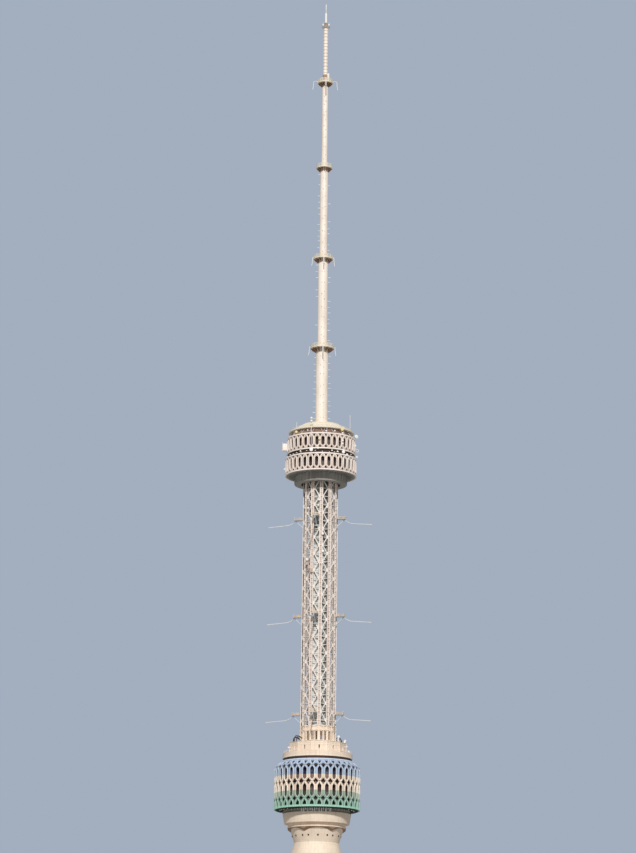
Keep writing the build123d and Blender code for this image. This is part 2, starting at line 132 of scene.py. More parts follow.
# %% Sky
sky_colour, sky_light = "#A3AEBF", 0.26
world = bpy.data.worlds.new("sky")
bpy.context.scene.world = world
world.use_nodes = True
sky = world.node_tree
sky.nodes.clear()
rays = add(sky, "ShaderNodeLightPath")
seen = add(sky, "ShaderNodeMath", {0: rays.outputs["Is Camera Ray"], 1: rays.outputs["Is Glossy Ray"]},
           operation="MAXIMUM")
seen = add(sky, "ShaderNodeMath", {0: seen.outputs[0], 1: rays.outputs["Is Transmission Ray"]},
           operation="MAXIMUM")
light = add(sky, "ShaderNodeBackground", {"Color": (1.0, 1.0, 1.0, 1.0), "Strength": sky_light})
backdrop = add(sky, "ShaderNodeBackground", {"Color": linear(sky_colour), "Strength": 1.0})
mixed = add(sky, "ShaderNodeMixShader", {0: seen.outputs[0], 1: light.outputs[0], 2: backdrop.outputs[0]})
add(sky, "ShaderNodeOutputWorld", {"Surface": mixed.outputs[0]})
bpy.context.scene.view_settings.view_transform = "Standard"
print("sky", sky_colour, "with light of", sky_light)

# %% Sun
sun_strength, sun_spread, sun_elevation = 2.75, 4.0, 36.0
sun_data = bpy.data.lights.new("sun", "SUN")
sun_data.energy = sun_strength
sun_data.angle = radians(sun_spread)
sun = placed("sun", sun_data)
sun.rotation_euler = (radians(90 - sun_elevation), 0, -azimuth)
print("sun", sun_elevation, "degrees high")

# %% [markdown]
# ## Paint and weather
# Nearly all of the mast is painted steel or painted sheet. Up close such a surface is never one colour:
# sheets fade unevenly, rain draws streaks down from every joint, and seams collect dirt. One function
# makes that finish from the paint's colour, the colour of its dirt, and the real spacing of its seams.

# %% Surface and seams
def surface(name):
    """Starts a material and gives back its tree, its shader and the piece's own coordinates."""
    material = bpy.data.materials.new(name)
    material.use_nodes = True
    tree = material.node_tree
    tree.nodes.clear()
    shader = add(tree, "ShaderNodeBsdfPrincipled")
    add(tree, "ShaderNodeOutputMaterial", {"Surface": shader.outputs[0]})
    return material, tree, shader, add(tree, "ShaderNodeTexCoord").outputs["Object"]


def seam_mask(tree, distance, pitch, width):
    """1 on a line of that width at each pitch along a distance, and 0 between."""
    cell = add(tree, "ShaderNodeMath", {0: distance, 1: pitch / 2}, operation="PINGPONG")
    return add(tree, "ShaderNodeMath", {0: cell.outputs[0], 1: width / 2}, operation="LESS_THAN").outputs[0]


def seams(tree, place, rise, count, width):
    """Mask of level seams at each rise, and of upright seams at that many places round the axis."""
    axes = add(tree, "ShaderNodeSeparateXYZ", {0: place})
    level = seam_mask(tree, axes.outputs["Z"], rise, width)
    angle = add(tree, "ShaderNodeMath", {0: axes.outputs["X"], 1: axes.outputs["Y"]}, operation="ARCTAN2")
    upright = seam_mask(tree, angle.outputs[0], 2 * pi / count, width)
    return add(tree, "ShaderNodeMath", {0: level, 1: upright}, operation="MAXIMUM").outputs[0]


seam_width = 4 * mm
print("seams", round(seam_width / mm), "mm wide")

# %% [markdown]
# The paint itself is a colour, or a few colours one above another, as on the zoned screen. Three masks lay
# dirt on it: soft patches, streaks that are stretched upright, and the seams. A noise stretched by a
# Mapping node is cheaper than painted streaks, and it never repeats round the mast.

# %% Weathered paint
def banded(tree, place, colour, bands):
    """A colour that changes at each (foot level, colour) pair."""
    level = add(tree, "ShaderNodeSeparateXYZ", {0: place}).outputs["Z"]
    base = linear(colour)
    for foot, band_colour in bands:
        above = add(tree, "ShaderNodeMath", {0: level, 1: foot}, operation="GREATER_THAN")
        base = add(tree, "ShaderNodeMix", {"Factor": above.outputs[0], 6: base, 7: linear(band_colour)},
                   data_type="RGBA").outputs[2]
    return base


# noise cells to the metre: streaks about 45 mm wide and 1.1 m long
streaks_across, streaks_along = 22.0, 0.9
# brush marks each 11 mm, coarser than the real 2 mm, which wouldn't show
brush_marks = 90.0


def weathered(name, colour, dirt, seam_rise, seam_count, roughness=0.45, streaks=0.3, bands=(),
              metallic=0.0, patch=0.5):
    """Painted sheet with faded patches, rain streaks and seams of dirt."""
    material, tree, shader, place = surface(name)
    paint = banded(tree, place, colour, bands)
    cloud = add(tree, "ShaderNodeTexNoise", {"Vector": place, "Scale": 1 / patch, "Detail": 4.0})
    fade = add(tree, "ShaderNodeMapRange", {0: cloud.outputs["Fac"], 1: 0.4, 2: 0.7, 3: 0.0, 4: 0.2})
    stretched = add(tree, "ShaderNodeMapping",
                    {"Vector": place, "Scale": (streaks_across, streaks_across, streaks_along)})
    rain = add(tree, "ShaderNodeTexNoise", {"Vector": stretched.outputs[0], "Scale": 1.0, "Detail": 5.0})
    trail = add(tree, "ShaderNodeMapRange", {0: rain.outputs["Fac"], 1: 0.5, 2: 0.78, 3: 0.0, 4: streaks})
    lines = seams(tree, place, seam_rise, seam_count, seam_width)
    joint = add(tree, "ShaderNodeMath", {0: lines, 1: 0.35}, operation="MULTIPLY")
    for share in (fade, trail, joint):
        paint = add(tree, "ShaderNodeMix", {"Factor": share.outputs[0], 6: paint, 7: linear(dirt)},
                    data_type="RGBA").outputs[2]
    gloss = add(tree, "ShaderNodeMapRange", {0: rain.outputs["Fac"], 1: 0.3, 2: 0.7,
                                             3: roughness - 0.08, 4: roughness + 0.15})
    grain = add(tree, "ShaderNodeTexNoise", {"Vector": place, "Scale": brush_marks, "Detail": 2.0})
    height = add(tree, "ShaderNodeMath", {0: grain.outputs["Fac"], 1: lines}, operation="SUBTRACT")
    bump = add(tree, "ShaderNodeBump", {"Height": height.outputs[0], "Strength": 0.25, "Distance": 2 * mm})
    for socket, source in (("Base Color", paint), ("Roughness", gloss.outputs[0]),
                           ("Normal", bump.outputs[0])):
        tree.links.new(source, shader.inputs[socket])
    shader.inputs["Metallic"].default_value = metallic
    return material


print("brush marks", round(1000 / brush_marks), "mm apart")

# %% [markdown]
# ## The finishes
# Each finish is named for what it is on the real mast, with a note of what the eye gets from it. The
# numbers after the two colours are the rise of the sheets in metres, the sheets in a whole turn, the
# roughness and the strength of the streaks.

# %% Paints of the mast and the screens
# alkyd enamel on steel tube: warm cream, half gloss, thin brown streaks below each joint
cream_enamel = weathered("cream_alkyd_enamel", "#FFF2E3", "#C4A78F", 0.6, 6, 0.4, 0.3)
# the same enamel on the shaft's bars, a little pinker and whiter
shaft_enamel = weathered("pale_shaft_enamel", "#F8EDE3", "#C2A48C", 0.27, 12, 0.45, 0.3, patch=0.3)
# emulsion on flat cladding sheets: matt, a little darker, seams every 1.5 m
cream_sheet = weathered("cream_painted_cladding", "#F6E2CB", "#A98E78", 0.15, 48, 0.6, 0.25)
# rust-stained primer in the recess of a chord: tan and brown, matt
stained_primer = weathered("rust_stained_primer", "#D6C3B6", "#8F6A52", 0.54, 6, 0.75, 0.45, patch=0.2)
# zoned paint of the lower screen: mint, grey-green, cream and blue from below
zones = [(9.735, "#ABD0BD"), (10.000, "#C2D0BF"), (10.200, "#FFF5E4"), (10.705, "#CDDAE9")]
screen_enamel = weathered("zoned_screen_enamel", "#A8DCC4", "#8E8072", 0.5, 36, 0.45, 0.15, bands=zones)
# the same zones, darker, on the panels between the ribbons: painted shade of the recess
recess_shade_zones = [(10.000, "#98A994"), (10.200, "#EACFB8"), (10.705, "#A5B7D0")]
screen_recess_shade = weathered("zoned_screen_painted_shade", "#8AA999", "#7A6C60", 0.5, 36, 0.6, 0.25,
                          bands=recess_shade_zones)
# cream enamel of the upper screens, pinker than the mast
upper_enamel = weathered("pink_cream_enamel", "#FFF4EA", "#C4A892", 0.3, 36, 0.45, 0.25)
# the panels between the upper ribbons: the same paint, darkened as painted shade of the recess
upper_recess_shade = weathered("pink_enamel_painted_shade", "#E3CFC0", "#8C705C", 0.3, 36, 0.55, 0.4)
print(len(bpy.data.materials), "materials")

# %% Finishes of undersides, floors and sheets
# cladding of undersides and leaning faces: dark brown painted shade, with streaks of dirt
underside_painted_shade = weathered("underside_cladding_painted_shade", "#A07F68", "#6E5644", 0.15, 48, 0.7, 0.2)
# cement-grey decks and floors
deck_concrete = weathered("pale_deck_concrete", "#B9B5AC", "#7B766C", 0.3, 24, 0.85, 0.4)
# undersides: grey paint darkened as painted shade, with sooty streaks
soffit_paint_and_shade = weathered("grey_soffit_paint_and_shade", "#A19D94", "#4A463E", 0.25, 36, 0.7, 0.5)
# the underside that the lower building's screen hangs from: green, darkened as painted shade
green_paint_and_shade = weathered("green_soffit_paint_and_shade", "#4A5A4E", "#26302A", 0.25, 36, 0.7, 0.4)
# the deep gaps between two storeys: dark brown, matt painted shade, as no light comes in
gap_painted_shade = weathered("dark_brown_gap_painted_shade", "#453329", "#211914", 0.2, 36, 0.8, 0.4)
# galvanised sheet, weathered to a pale matt grey
galvanised = weathered("weathered_galvanised_steel", "#CFD2D2", "#8B8F8E", 0.3, 12, 0.5, 0.35, metallic=0.2)
# duct sheet inside the shaft: pale in the lower half and dull grey above
duct_sheet = weathered("grey_duct_sheet", "#DDE0DE", "#6A6C66", 0.137, 8, 0.6, 0.7, patch=0.15,
                       bands=[(18.300, "#A2A8A2")])
# sheet of the service core behind it: darker, with heavy streaks, and darker again above 18.3 m
core_sheet = weathered("grey_core_sheet", "#BEC5C2", "#4E4B46", 0.137, 6, 0.7, 0.8, patch=0.2,
                       bands=[(18.300, "#8F9694")])
# glass-fibre covers: white, smooth, chalky with age
gelcoat = weathered("white_glassfibre_cover", "#F7F3EE", "#C3BBB2", 0.12, 8, 0.4, 0.15)
# yellowed glass-fibre cover
old_gelcoat = weathered("yellowed_glassfibre_cover", "#EBDD9C", "#B79F6A", 0.12, 8, 0.45, 0.2)
# pale yellow roof sheet
roof_sheet = weathered("pale_roof_sheet", "#F6EBD2", "#B19C7C", 0.4, 48, 0.5, 0.25)
# frames, doors and landings in dark brown lead paint: nearly black in shade
brown_paint = weathered("dark_brown_lead_paint", "#4A3B30", "#2A221C", 0.2, 8, 0.6, 0.4)
# ochre oil paint of the brackets' rails and decks, rusting through
ochre_paint = weathered("ochre_oil_paint", "#E9CBA2", "#B0794A", 0.2, 12, 0.5, 0.5, patch=0.1)
# bare steel that has rusted to a matt pinkish brown
rust = weathered("rusted_steel", "#B5937A", "#6E5240", 0.2, 6, 0.85, 0.8, patch=0.08)
print(len(bpy.data.materials), "materials")

# %% [markdown]
# ## Window glass
# Window glass seen by day is dark, because the room behind it is; here that dark is painted shade in the
# glass's colour. Each pane reflects a little more or less than its neighbour, so a pale painted reflection
# changes from pane to pane, by cells counted round the axis.

# %% Window glass
# smears of dirt, about 140 mm across, which break up the painted reflection, and the share of dark panes
smears, dark_share = 7.0, 0.7


def window_glass(name, tint, pale, panes, pane_rise, bands=()):
    """Dark glazing in painted shade with a pale painted reflection per pane; the panes are cells in angle
    and level.
    """
    material, tree, shader, place = surface(name)
    axes = add(tree, "ShaderNodeSeparateXYZ", {0: place})
    angle = add(tree, "ShaderNodeMath", {0: axes.outputs["X"], 1: axes.outputs["Y"]}, operation="ARCTAN2")
    across = add(tree, "ShaderNodeMath", {0: angle.outputs[0], 1: panes / (2 * pi)}, operation="MULTIPLY")
    up = add(tree, "ShaderNodeMath", {0: axes.outputs["Z"], 1: 1 / pane_rise}, operation="MULTIPLY")
    cell = [add(tree, "ShaderNodeMath", {0: value.outputs[0]}, operation="FLOOR").outputs[0]
            for value in (across, up)]
    corner = add(tree, "ShaderNodeCombineXYZ", {"X": cell[0], "Y": cell[1]})
    chance = add(tree, "ShaderNodeTexWhiteNoise", {"Vector": corner.outputs[0]}, noise_dimensions="2D")
    # the pale colour mixed into some panes is painted reflection
    mix = add(tree, "ShaderNodeMapRange",
              {0: chance.outputs["Value"], 1: dark_share, 2: 1.0, 3: 0.0, 4: 1.0})
    smear_and_reflection = add(tree, "ShaderNodeTexNoise", {"Vector": place, "Scale": smears, "Detail": 3.0})
    factor = add(tree, "ShaderNodeMath", {0: mix.outputs[0], 1: smear_and_reflection.outputs["Fac"]}, operation="MULTIPLY")
    glass = add(tree, "ShaderNodeMix", {"Factor": factor.outputs[0], 6: banded(tree, place, tint, bands),
                                        7: linear(pale)}, data_type="RGBA")
    gloss = add(tree, "ShaderNodeMapRange", {0: smear_and_reflection.outputs["Fac"], 3: 0.1, 4: 0.3})
    tree.links.new(glass.outputs[2], shader.inputs["Base Color"])
    tree.links.new(gloss.outputs[0], shader.inputs["Roughness"])
    shader.inputs["IOR"].default_value = 1.52
    return material


lower_glazing = window_glass("tinted_window_glass", "#16382C", "#A7A198", 72, 0.13, bands=[
    (9.930, "#4C5A4C"), (10.190, "#4E261B"), (10.500, "#94786A"), (10.730, "#2A3558")])
upper_glazing = window_glass("brown_window_glass", "#48352A", "#A88F80", 72, 0.27,
                             bands=[(21.975, "#96786A")])
# dark port glass: painted shade of the unlit room behind the holes
port_glazing = window_glass("dark_port_glass", "#241A14", "#3A2C22", 36, 1.0)
print("three kinds of glass")

# %% [markdown]
# ## A tree that repeats
# Nearly all on the mast comes round again: bays, chords, ribs, posts. An Array modifier could copy them,
# but a Geometry Nodes tree also turns each row a little more than the row below, as the lattice needs.
# It makes one point for each copy and works out the copy's turn and rise from the point's number.

# %% Tree that repeats round and up
def inputs_of(tree, sockets):
    """Gives a Geometry Nodes tree its named inputs and its output."""
    tree.interface.new_socket("Geometry", in_out="OUTPUT", socket_type="NodeSocketGeometry")
    for name, kind in (("Geometry", "Geometry"), *sockets, ("Material", "Material")):
        tree.interface.new_socket(name, in_out="INPUT", socket_type="NodeSocket" + kind)
    return add(tree, "NodeGroupInput").outputs


def repeat_tree():
    """Copies round the axis and up, each row turned a little more than the one below."""
    tree = bpy.data.node_groups.new("repeat_round_and_up", "GeometryNodeTree")
    given = inputs_of(tree, (("Around", "Int"), ("Rows", "Int"), ("First angle", "Float"),
                             ("Row rise", "Float"), ("Row turn", "Float"), ("Weld", "Float")))
    total = add(tree, "ShaderNodeMath", {0: given["Around"], 1: given["Rows"]}, operation="MULTIPLY")
    points = add(tree, "GeometryNodeMeshLine", {"Count": total.outputs[0], "Offset": (0.0, 0.0, 0.0)})
    index = add(tree, "GeometryNodeInputIndex").outputs[0]
    part = add(tree, "ShaderNodeMath", {0: index, 1: given["Around"]}, operation="DIVIDE")
    row = add(tree, "ShaderNodeMath", {0: part.outputs[0]}, operation="FLOOR").outputs[0]
    share = add(tree, "ShaderNodeMath", {0: part.outputs[0]}, operation="FRACT").outputs[0]
    level = add(tree, "ShaderNodeMath", {0: row, 1: given["Row rise"]}, operation="MULTIPLY")
    rise = add(tree, "ShaderNodeCombineXYZ", {"Z": level.outputs[0]})
    stacked = add(tree, "GeometryNodeSetPosition",
                  {"Geometry": points.outputs[0], "Offset": rise.outputs[0]})
    round_turn = add(tree, "ShaderNodeMath", {0: share, 1: 2 * pi, 2: given["First angle"]},
                     operation="MULTIPLY_ADD")
    turn_up = add(tree, "ShaderNodeMath", {0: row, 1: given["Row turn"], 2: round_turn.outputs[0]},
                  operation="MULTIPLY_ADD")
    angles = add(tree, "ShaderNodeCombineXYZ", {"Z": turn_up.outputs[0]})
    turned = add(tree, "FunctionNodeEulerToRotation", {0: angles.outputs[0]})
    copies = add(tree, "GeometryNodeInstanceOnPoints", {"Points": stacked.outputs[0],
                 "Instance": given["Geometry"], "Rotation": turned.outputs[0]})
    real = add(tree, "GeometryNodeRealizeInstances", {0: copies.outputs[0]})
    welded = add(tree, "GeometryNodeMergeByDistance",
                 {"Geometry": real.outputs[0], "Distance": given["Weld"]})
    coated = add(tree, "GeometryNodeSetMaterial", {0: welded.outputs[0], "Material": given["Material"]})
    add(tree, "NodeGroupOutput", {0: coated.outputs[0]})
    return tree


repeat_round = repeat_tree()
print(repeat_round.name, len(repeat_round.nodes), "nodes")

# %% [markdown]
# ## Making a piece
# A mesh is built from points and faces, cleaned, and may then be grown by a tree.

# %% Mesh helpers
def mesh_of(name, points, faces=(), edges=(), smooth=None):
    """Object from points and faces, doubles merged, faces outwards, smooth up to an angle in degrees."""
    mesh = bpy.data.meshes.new(name)
    mesh.from_pydata(points, list(edges), list(faces))
    work = bmesh.new()
    work.from_mesh(mesh)
    bmesh.ops.remove_doubles(work, verts=work.verts, dist=0.01 * mm)
    bmesh.ops.recalc_face_normals(work, faces=work.faces)
    work.to_mesh(mesh)
    work.free()
    if smooth:
        mesh.shade_smooth()
        mesh.set_sharp_from_angle(angle=radians(smooth))
    return placed(name, mesh)


def grow(piece, tree, material, **values):
    """Runs a tree on a piece and keeps the plain mesh that comes out."""
    modifier = piece.modifiers.new("grow", "NODES")
    modifier.node_group = tree
    values["Material"] = material
    for socket in tree.interface.items_tree:
        if socket.in_out == "INPUT" and socket.name in values:
            modifier[socket.identifier] = values[socket.name]
    graph = bpy.context.evaluated_depsgraph_get()
    mesh = bpy.data.meshes.new_from_object(piece.evaluated_get(graph), depsgraph=graph)
    piece.modifiers.remove(modifier)
    piece.data = mesh
    return piece


def hand_over(piece, slot, *nodes):
    """Gives a finished piece to the frame: its body and the solids that it stands for; the slot is not
    used.
    """
    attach(piece, "root")
    if nodes:
        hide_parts(*nodes)
    print(piece.name, len(piece.data.polygons), "faces")


def repeated(piece, material, around=1, rows=1, first=0.0, rise=0.0, row_turn=0.0, weld=0.0):
    """The piece copied round and up; angles in degrees."""
    return grow(piece, repeat_round, material, **{
        "Around": around, "Rows": rows, "First angle": radians(first), "Row rise": rise,
        "Row turn": radians(row_turn), "Weld": weld})


print("solids to dress:", len(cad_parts))

# %% [markdown]
# The scene's pieces have to sit on the solids, so their levels and widths are read from the solids'
# boxes, and not written twice.

# %% Measures of the solids
def reach(node):
    """Distance from the axis to a ring's flat face at the front."""
    return -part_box(node)[0].y


def foot(node):
    """Lowest level of a node."""
    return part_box(node)[0].z


def head(node):
    """Highest level of a node."""
    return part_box(node)[1].z


print("the mast's tip is at", round(head("mast_tip"), 3), "m")

# %% [markdown]
# ## Plain CAD pieces
# The legs, the core, the floors and the braces already have the right shape. They keep their solids and
# get the finish of the real part.

# %% Finishes on the solids
plain_nodes = {
    cream_sheet: ("leg_front", "leg_right", "leg_left", "core_shaft", "terrace_drum", "lantern"),
    shaft_enamel: ("bracing_front", "bracing_right", "bracing_back", "bracing_left", "shaft_stiffeners"),
    deck_concrete: ("core_base", "lower_core", "lower_floors"),
    soffit_paint_and_shade: ("upper_deck",),
    green_paint_and_shade: ("lower_deck",),
    gap_painted_shade: ("lower_roof", "lower_ceiling", "upper_mid_floor"),
    lower_glazing: ("lower_glass",),
    upper_glazing: ("upper_glass",),
    duct_sheet: ("shaft_riser",),
    galvanised: ("booms",),
}
for material, nodes in plain_nodes.items():
    for node in nodes:
        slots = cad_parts[node].data.materials
        slots.clear()
        slots.append(material)
print(sum(len(nodes) for nodes in plain_nodes.values()), "nodes finished")

# %% [markdown]
# ## Knot
# The knot is a closed body that narrows upwards to the waist. It is round, so its section is drawn as
# (radius, level) points and turned about the axis, as on a lathe. The same function then makes every other
# round piece of the mast.

# %% Turned pieces and the knot
def ring_faces(sides, count):
    """Faces between neighbouring copies of a closed outline of count points, all the way round."""
    return [(k * count + i, (k + 1) % sides * count + i, (k + 1) % sides * count + (i + 1) % count,
             k * count + (i + 1) % count) for k in range(sides) for i in range(count)]


def turned_piece(name, outline, material, sides=96, smooth=30):
    """Closed outline of (radius, level) points turned round the axis."""
    points, count = [], len(outline)
    for k in range(sides):
        a = 2 * pi * k / sides
        points += [(r * sin(a), -r * cos(a), z) for r, z in outline]
    piece = mesh_of(name, points, ring_faces(sides, count), smooth=smooth)
    piece.data.materials.append(material)
    return piece


waist_radius, knot_rise, knot_lean = 721 * mm, 1020 * mm, tan(radians(15.5))
knot_low, waist = foot("leg_knot"), head("leg_knot")
knot_radius = waist_radius + knot_rise * knot_lean
knot = turned_piece("knot_cladding", [
    (0, knot_low), (knot_radius, knot_low), (waist_radius, waist), (0, waist)], cream_sheet)
hand_over(knot, "cream_cladding", "leg_knot")

# %% [markdown]
# ## Neck
# The neck above the knot is a round cone, until the six leaning sides of its head come out of it: they
# reach furthest at the corners and least between them, and so the two meet in six arches. It could be cut
# from solids, but a rule is cleaner: at each angle the surface follows the cone up to the arch, then the
# leaning side out to the round rim, and the rim to the top.

# %% Neck
neck_sides, face_columns = 6, 24
neck_lean, neck_rim = tan(radians(17.6)), 935 * mm
arch_foot, arch_crown = 330 * mm, 452 * mm
neck_rise = head("hex_neck") - waist
foot_apothem = (waist_radius + arch_foot * neck_lean) * cos(pi / neck_sides)
head_lean = (waist_radius + arch_crown * neck_lean - foot_apothem) / (arch_crown - arch_foot)


def neck_column(angle):
    """Radius and height at the waist, on the arch, at the foot of the rim and at the head."""
    spread = cos((angle + pi / neck_sides) % (2 * pi / neck_sides) - pi / neck_sides)
    arch = (waist_radius * spread - foot_apothem + head_lean * arch_foot) / (head_lean - neck_lean * spread)
    rim = min(arch_foot + (neck_rim * spread - foot_apothem) / head_lean, neck_rise - 2 * mm)
    rim_radius = (foot_apothem + (rim - arch_foot) * head_lean) / spread
    return ((waist_radius, 0), (waist_radius + arch * neck_lean, arch), (rim_radius, rim),
            (rim_radius, neck_rise))


columns = neck_sides * face_columns
points, faces = [], []
for k in range(columns):
    angle = 2 * pi * k / columns
    points += [(r * sin(angle), -r * cos(angle), waist + z) for r, z in neck_column(angle)]
    here, there = 4 * k, 4 * ((k + 1) % columns)
    faces += [(here + i, there + i, there + i + 1, here + i + 1) for i in range(3)]
faces += [tuple(4 * k for k in range(columns)), tuple(4 * k + 3 for k in range(columns))]
neck = mesh_of("neck_cladding", points, faces, smooth=25)
neck.data.materials.append(cream_sheet)
neck.data.materials.append(underside_painted_shade)
# the leaning sides and the upright rim of the head get the dark brown cladding: painted shade above the
# arches
for face in neck.data.polygons:
    leaning_side = -0.95 < face.normal.z < -0.5
    upright_rim = abs(face.normal.z) < 0.1
    face.material_index = int(leaning_side or upright_rim)
hand_over(neck, "cream_cladding", "hex_neck")

# %% [markdown]
# ## Port holes
# The neck has three port holes under each arch. One is drawn as a section, a rim round a dark pane, and is
# turned about the line that it looks along. The tree then sets it round, with each row turned a little.

# %% Port holes of the neck
def facing_out(outline, radius, level, lean=0.0, azimuth=0.0, sides=16, name="fitting", smooth=40):
    """Section of (radius, height) points turned round a line that points out of a wall."""
    points, count = [], len(outline)
    slope = hypot(1, lean)
    place = Matrix.Rotation(radians(azimuth), 3, "Z")
    for k in range(sides):
        a = 2 * pi * k / sides
        for r, height in outline:
            up = r * sin(a)
            points.append(place @ Vector((r * cos(a), -radius - (height + up * lean) / slope,
                                          level + (up - height * lean) / slope)))
    return mesh_of(name, points, ring_faces(sides, count), smooth=smooth)


port_radius, port_level, port_turn, port_rim = 19 * mm, 210 * mm, 22.5, 9 * mm
port_places = {"around": neck_sides, "rows": 3, "first": -port_turn, "row_turn": port_turn}
port_face = waist_radius + port_level * neck_lean
port_edge = port_radius + port_rim
# the rims are painted dark brown, which widens each hole's dark dot with painted shade
port_rims = facing_out([(port_radius, -port_rim), (port_radius, port_rim), (port_edge, port_rim),
                        (port_edge, -port_rim)], port_face, waist + port_level, neck_lean,
                       name="neck_port_rims")
hand_over(repeated(port_rims, brown_paint, **port_places), "cream_cladding")
port_panes = facing_out([(0, -port_rim), (0, port_rim / 2), (port_radius, port_rim / 2),
                         (port_radius, -port_rim)], port_face, waist + port_level, neck_lean,
                        name="neck_port_panes")
hand_over(repeated(port_panes, port_glazing, **port_places), "window_glass")

# %% [markdown]
# ## Collar and drum
# Both are plainly round, so their sections are turned too. The collar's edges are cut at a slant by a few
# millimetres, because a sharp edge of sheet never shows quite sharp.

# %% Collar
lip_radius, collar_radius, collar_wall, lip_rise = 950 * mm, 925 * mm, 50 * mm, 35 * mm
collar_low, collar_top = foot("neck_collar"), head("neck_collar")
collar = turned_piece("collar_ring", [
    (collar_radius - collar_wall, collar_low), (lip_radius - 6 * mm, collar_low),
    (lip_radius, collar_low + 6 * mm), (lip_radius, collar_low + lip_rise - 6 * mm),
    (lip_radius - 6 * mm, collar_low + lip_rise), (collar_radius, collar_low + lip_rise),
    (collar_radius, collar_top), (collar_radius - collar_wall, collar_top)], cream_sheet)
hand_over(collar, "cream_cladding", "neck_collar")

# %% [markdown]
# The drum widens to a belly and then steps in under the deck. It is a shell with a floor and an open head,
# so its section goes round the inside too, which gives the wall its thickness.

# %% Drum
drum_foot, drum_belly, drum_head, drum_wall = 1050 * mm, 1105 * mm, 1065 * mm, 40 * mm
belly_low, belly_high = collar_top + 304 * mm, collar_top + 374 * mm
lower_deck = foot("lower_deck")
drum = turned_piece("drum_cladding", [
    (0, collar_top), (drum_foot, collar_top), (drum_belly, belly_low), (drum_belly, belly_low + 12 * mm),
    (drum_head, belly_high), (drum_head, lower_deck), (drum_foot - drum_wall, lower_deck),
    (drum_foot - drum_wall, collar_top + 30 * mm), (0, collar_top + 30 * mm)], cream_sheet)
hand_over(drum, "cream_cladding", "lower_drum")

# %% [markdown]
# Flat bars of sheet metal, ribs and posts are plain blocks. One function makes a mesh of any number of
# them from their ranges, so that a whole group is one piece.

# %% Ribs of the drum
def blocks(name, *ranges, azimuth=0.0):
    """Blocks from (x range, y range, z range), turned together about the axis, as one mesh."""
    points, faces = [], []
    for x, y, z in ranges:
        n = len(points)
        points += [(x[i], y[j], z[k]) for i in (0, 1) for j in (0, 1) for k in (0, 1)]
        faces += [tuple(n + k for k in face) for face in
                  ((0, 1, 3, 2), (4, 6, 7, 5), (0, 4, 5, 1), (2, 3, 7, 6), (0, 2, 6, 4), (1, 5, 7, 3))]
    turn = Matrix.Rotation(radians(azimuth), 3, "Z")
    return mesh_of(name, [turn @ Vector(p) for p in points], faces)


drum_ribs, rib_half = 48, 8 * mm
rib = blocks("drum_ribs", ((-rib_half, rib_half), (-drum_head - 14 * mm, -drum_head + 5 * mm),
                           (belly_high - 10 * mm, lower_deck)))
hand_over(repeated(rib, cream_sheet, around=drum_ribs), "cream_cladding")

# %% [markdown]
# ## Under the lower deck
# In the shade under the deck the photograph shows a row of white brackets at the front, not quite alike,
# and the deck's joists run outwards with small round lamps between them.

# %% Brackets and joists
def finished(piece, material):
    """The piece with one finish all over."""
    piece.data.materials.append(material)
    return piece


def mesh_from(name, work):
    """The finished bmesh as a mesh."""
    mesh = bpy.data.meshes.new(name)
    work.to_mesh(mesh)
    work.free()
    return mesh


def joined(name, pieces, material):
    """One piece from several, with one finish."""
    work = bmesh.new()
    for piece in pieces:
        work.from_mesh(piece.data)
        bpy.data.objects.remove(piece)
    return finished(placed(name, mesh_from(name, work)), material)


bracket_count, first_bracket, bracket_turn = 14, -29, 3.7
chance = Random(3)
brackets = []
for k in range(bracket_count):
    half, low = chance.uniform(12, 20) * mm, lower_deck - chance.uniform(70, 165) * mm
    brackets.append(blocks("bracket", ((-half, half), (-drum_head - 75 * mm, -drum_head + 4 * mm),
                                       (low, lower_deck - 20 * mm)),
                           azimuth=first_bracket + bracket_turn * k))
hand_over(joined("drum_brackets", brackets, gelcoat), "cream_cladding")

joist_count = 72
joist = blocks("deck_joists", ((-6 * mm, 6 * mm), (-1330 * mm, -1070 * mm),
                               (lower_deck - 26 * mm, lower_deck + 2 * mm)))
hand_over(repeated(joist, green_paint_and_shade, around=joist_count), "dark_soffit")
# a dark band on the drum's head behind the brackets: painted shade under the deck
painted_shade_ring = turned_piece("drum_head_painted_shade", [
    (drum_head - 5 * mm, belly_high), (drum_belly + 3 * mm, belly_low + 14 * mm),
    (drum_head + 4 * mm, belly_high + 3 * mm), (drum_head + 4 * mm, lower_deck - 4 * mm),
    (drum_head - 5 * mm, lower_deck - 4 * mm)], soffit_paint_and_shade)
hand_over(painted_shade_ring, "dark_soffit")

# %% [markdown]
# The lamps are short round cans. A can is an upright prism of many sides, and so are the plain bars that
# run up the shaft later, so both come from one function that raises a plan.

# %% Lamps under the deck
def prism_faces(count, n=0):
    """Faces of a solid between two like outlines of count points, of which the first has number n."""
    ring = [(n + k, n + (k + 1) % count) for k in range(count)]
    return [tuple(range(n, n + count)), tuple(range(n + count, n + 2 * count)),
            *[(here, there, there + count, here + count) for here, there in ring]]


def prisms(name, *solids, azimuth=0.0):
    """Upright prisms from (plan, low, high), as one mesh; a plan is a list of (x, y)."""
    points, faces = [], []
    for plan, low, high in solids:
        faces += prism_faces(len(plan), len(points))
        points += [(x, y, z) for z in (low, high) for x, y in plan]
    turn = Matrix.Rotation(radians(azimuth), 3, "Z")
    return mesh_of(name, [turn @ Vector(p) for p in points], faces)


def circle(x, y, radius, sides):
    """Points of a many-sided circle about a place."""
    angles = [2 * pi * k / sides for k in range(sides)]
    return [(x + radius * cos(a), y + radius * sin(a)) for a in angles]


